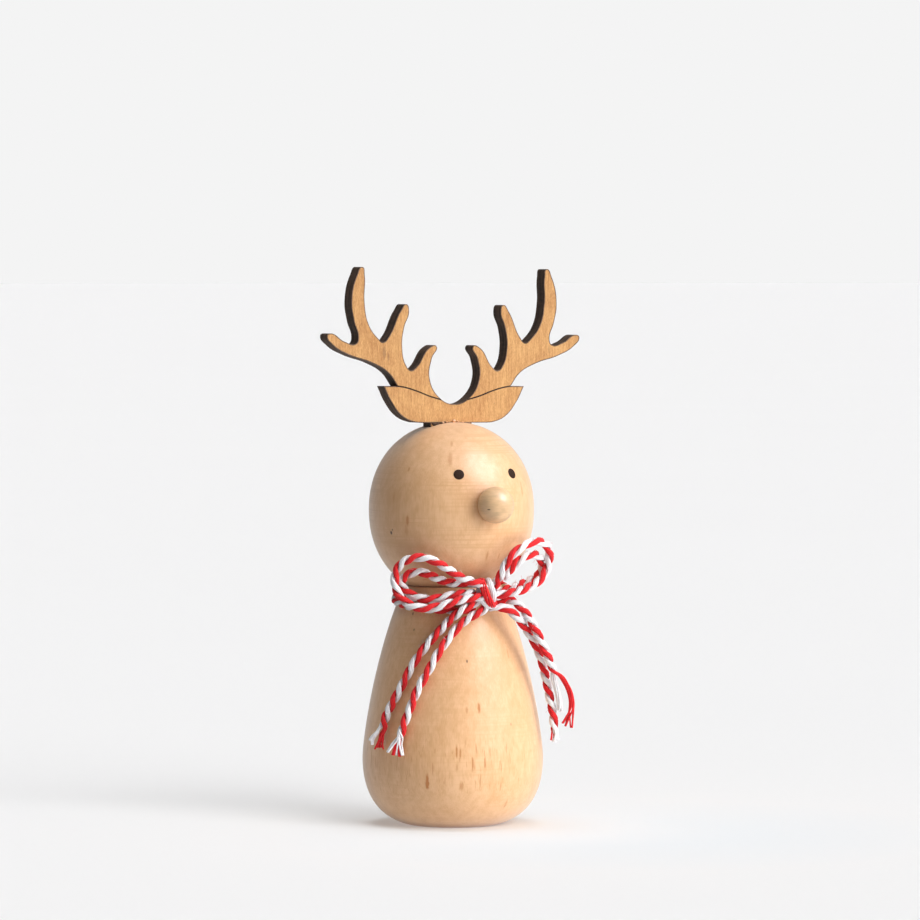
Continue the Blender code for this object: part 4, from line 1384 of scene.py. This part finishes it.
class DEER_OT_stage(bpy.types.Operator):
    """Set up the camera, the light, the floor and the backdrop"""

    bl_idname = "deer.stage"
    bl_label = "Stage"

    def execute(self, context):
        stage = context.scene.deer_stage
        self.camera(context, stage)
        floor = self.floor(stage)
        figure_only = self.receivers("figure_only", floor, "EXCLUDE")
        floor_only = self.receivers("floor_only", floor, "INCLUDE")
        for name in ("key", "side", "top"):
            self.matt(self.sun(name + "_light", *self.sun_settings(stage, name)), figure_only)
        self.matt(self.sun("shadow_light", *self.sun_settings(stage, "shadow")), floor_only)
        overhead = math.pi / 2
        self.matt(self.sun("floor_top", 0.0, overhead, stage.floor_top, stage.floor_spread), floor_only)
        even = self.sun("floor_light", 0.0, overhead, stage.floor_light, 0.0)
        even.data.use_shadow = False
        self.matt(even, floor_only)
        shine = self.sun("shine", *self.sun_settings(stage, "shine"))
        shine.visible_diffuse = False
        shine.data.color = stage.shine_colour
        self.matt(self.board(stage), figure_only)
        self.world(context, stage)
        context.scene.view_settings.view_transform = "Standard"
        return {"FINISHED"}

    def camera(self, context, stage):
        data = bpy.data.cameras.new("photo_camera")
        data.lens = stage.lens
        data.sensor_width = 36.0
        data.clip_start = 0.05
        data.clip_end = 200.0
        camera = new_object("photo_camera", data)
        right, front = camera_axes(context)
        camera.location = around(stage.turn, stage.distance, stage.height)
        self.aim(camera, right * stage.aim_right + Vector((0, 0, stage.aim_height)))
        context.scene.camera = camera

    def sun(self, name, turn, rise, strength, spread):
        data = bpy.data.lights.new(name, "SUN")
        data.energy = strength
        data.angle = spread
        lamp = new_object(name, data)
        lamp.location = around(turn, math.cos(rise), math.sin(rise))
        self.aim(lamp, Vector())
        return lamp

    def sun_settings(self, stage, name):
        """A sun's turn, rise, strength and spread."""
        return [getattr(stage, name + "_" + part) for part in ("turn", "rise", "strength", "spread")]

    def aim(self, item, target):
        """Point a camera or a lamp at a place."""
        item.rotation_euler = (target - item.location).to_track_quat("-Z", "Y").to_euler()

    def matt(self, lamp, receivers):
        """Keep a lamp out of the gloss, and let it light only the chosen things."""
        lamp.visible_glossy = False
        lamp.light_linking.receiver_collection = receivers

    def board(self, stage):
        """A long low white board that throws light up under the head."""
        data = bpy.data.lights.new("low_board", "AREA")
        data.shape = "RECTANGLE"
        data.size = stage.board_long
        data.size_y = stage.board_tall
        data.energy = stage.board_power
        lamp = new_object("low_board", data)
        lamp.location = around(stage.board_turn, stage.board_away, stage.board_height)
        self.aim(lamp, Vector((0, 0, KNOT_CENTRE.z)))
        lamp.visible_camera = False
        return lamp

    def world(self, context, stage):
        """Dim even light all round, and the pale backdrop where the camera or a gloss sees it."""
        world = bpy.data.worlds.new("studio")
        studio = Finish(world)
        seen = studio.ray("Is Camera Ray") + studio.ray("Is Transmission Ray")
        mirrored = studio.ray("Is Glossy Ray")
        strength = seen + mirrored * stage.mirrored + (1 - seen - mirrored) * stage.room
        sky = studio.node("ShaderNodeBackground", {}, {"Color": (*stage.backdrop, 1.0), "Strength": strength})
        studio.node("ShaderNodeOutputWorld", {}, {"Surface": sky})
        context.scene.world = world

    def floor(self, stage):
        shape = bmesh.new()
        bmesh.ops.create_grid(shape, x_segments=1, y_segments=1, size=FLOOR_HALF)
        mesh = plain_mesh("floor", shape)
        finish = new_finish("pale_floor")
        cloud = finish.noise((0.004, 0.004, 0.004), 2.0)
        base = finish.mix(cloud, tuple(stage.floor), shade(stage.floor, 0.99))
        right, front = camera_axes(bpy.context)
        lit = right * stage.floor_lit_right + front * stage.floor_lit_front
        far = finish.ramp(finish.away(lit) / stage.floor_reach, (0.3, 0.0), (1.0, 1.0))
        near = finish.ramp(finish.away(0.4 * lit) / stage.floor_reach, (0.10, 1.0), (0.28, 0.0))
        base = finish.mix(near, base, tuple(stage.floor_near))
        base = finish.mix(far * finish.ray("Is Diffuse Ray"), base, shade(stage.floor, stage.floor_far))
        mesh.materials.append(finish.close({"Base Color": base, "Roughness": 0.9, "Specular IOR Level": 0.1}))
        floor = new_object("floor", mesh)
        return floor

    def receivers(self, name, floor, state):
        """Which things a lamp lights: the floor alone, or all but the floor."""
        chosen = bpy.data.collections.new(name)
        chosen.objects.link(floor)
        chosen.collection_objects[0].light_linking.link_state = state
        return chosen


class DEER_PT_panel(bpy.types.Panel):
    """Buttons that build the figurine"""

    bl_idname = "DEER_PT_panel"
    bl_label = "Deer figurine"
    bl_space_type = "VIEW_3D"
    bl_region_type = "UI"
    bl_category = "Deer"

    def draw(self, context):
        for operator in OPERATORS:
            self.layout.operator(operator.bl_idname)
        for name in GROUPS:
            group = getattr(context.scene, name)
            column = self.layout.column(align=True)
            for item in group.bl_rna.properties:
                if item.identifier not in ("rna_type", "name"):
                    column.prop(group, item.identifier)


OPERATORS = (DEER_OT_stage, DEER_OT_twine, DEER_OT_body, DEER_OT_head, DEER_OT_dowel, DEER_OT_face,
             DEER_OT_antlers)
GROUPS = {"deer_wood": WoodSettings, "deer_face": FaceSettings, "deer_plate": PlateSettings,
          "deer_twine": TwineSettings, "deer_stage": StageSettings}


def register():
    for item in (*GROUPS.values(), *OPERATORS, DEER_PT_panel):
        bpy.utils.register_class(item)
    for name, group in GROUPS.items():
        setattr(bpy.types.Scene, name, PointerProperty(type=group))


def unregister():
    for name in GROUPS:
        delattr(bpy.types.Scene, name)
    for item in reversed((*GROUPS.values(), *OPERATORS, DEER_PT_panel)):
        bpy.utils.unregister_class(item)


def main():
    register()
    bpy.ops.deer.stage()
    bpy.ops.deer.twine()
    bpy.ops.deer.body()
    bpy.ops.deer.head()
    bpy.ops.deer.dowel()
    bpy.ops.deer.face()
    bpy.ops.deer.antlers()


if __name__ == "__main__":
    main()
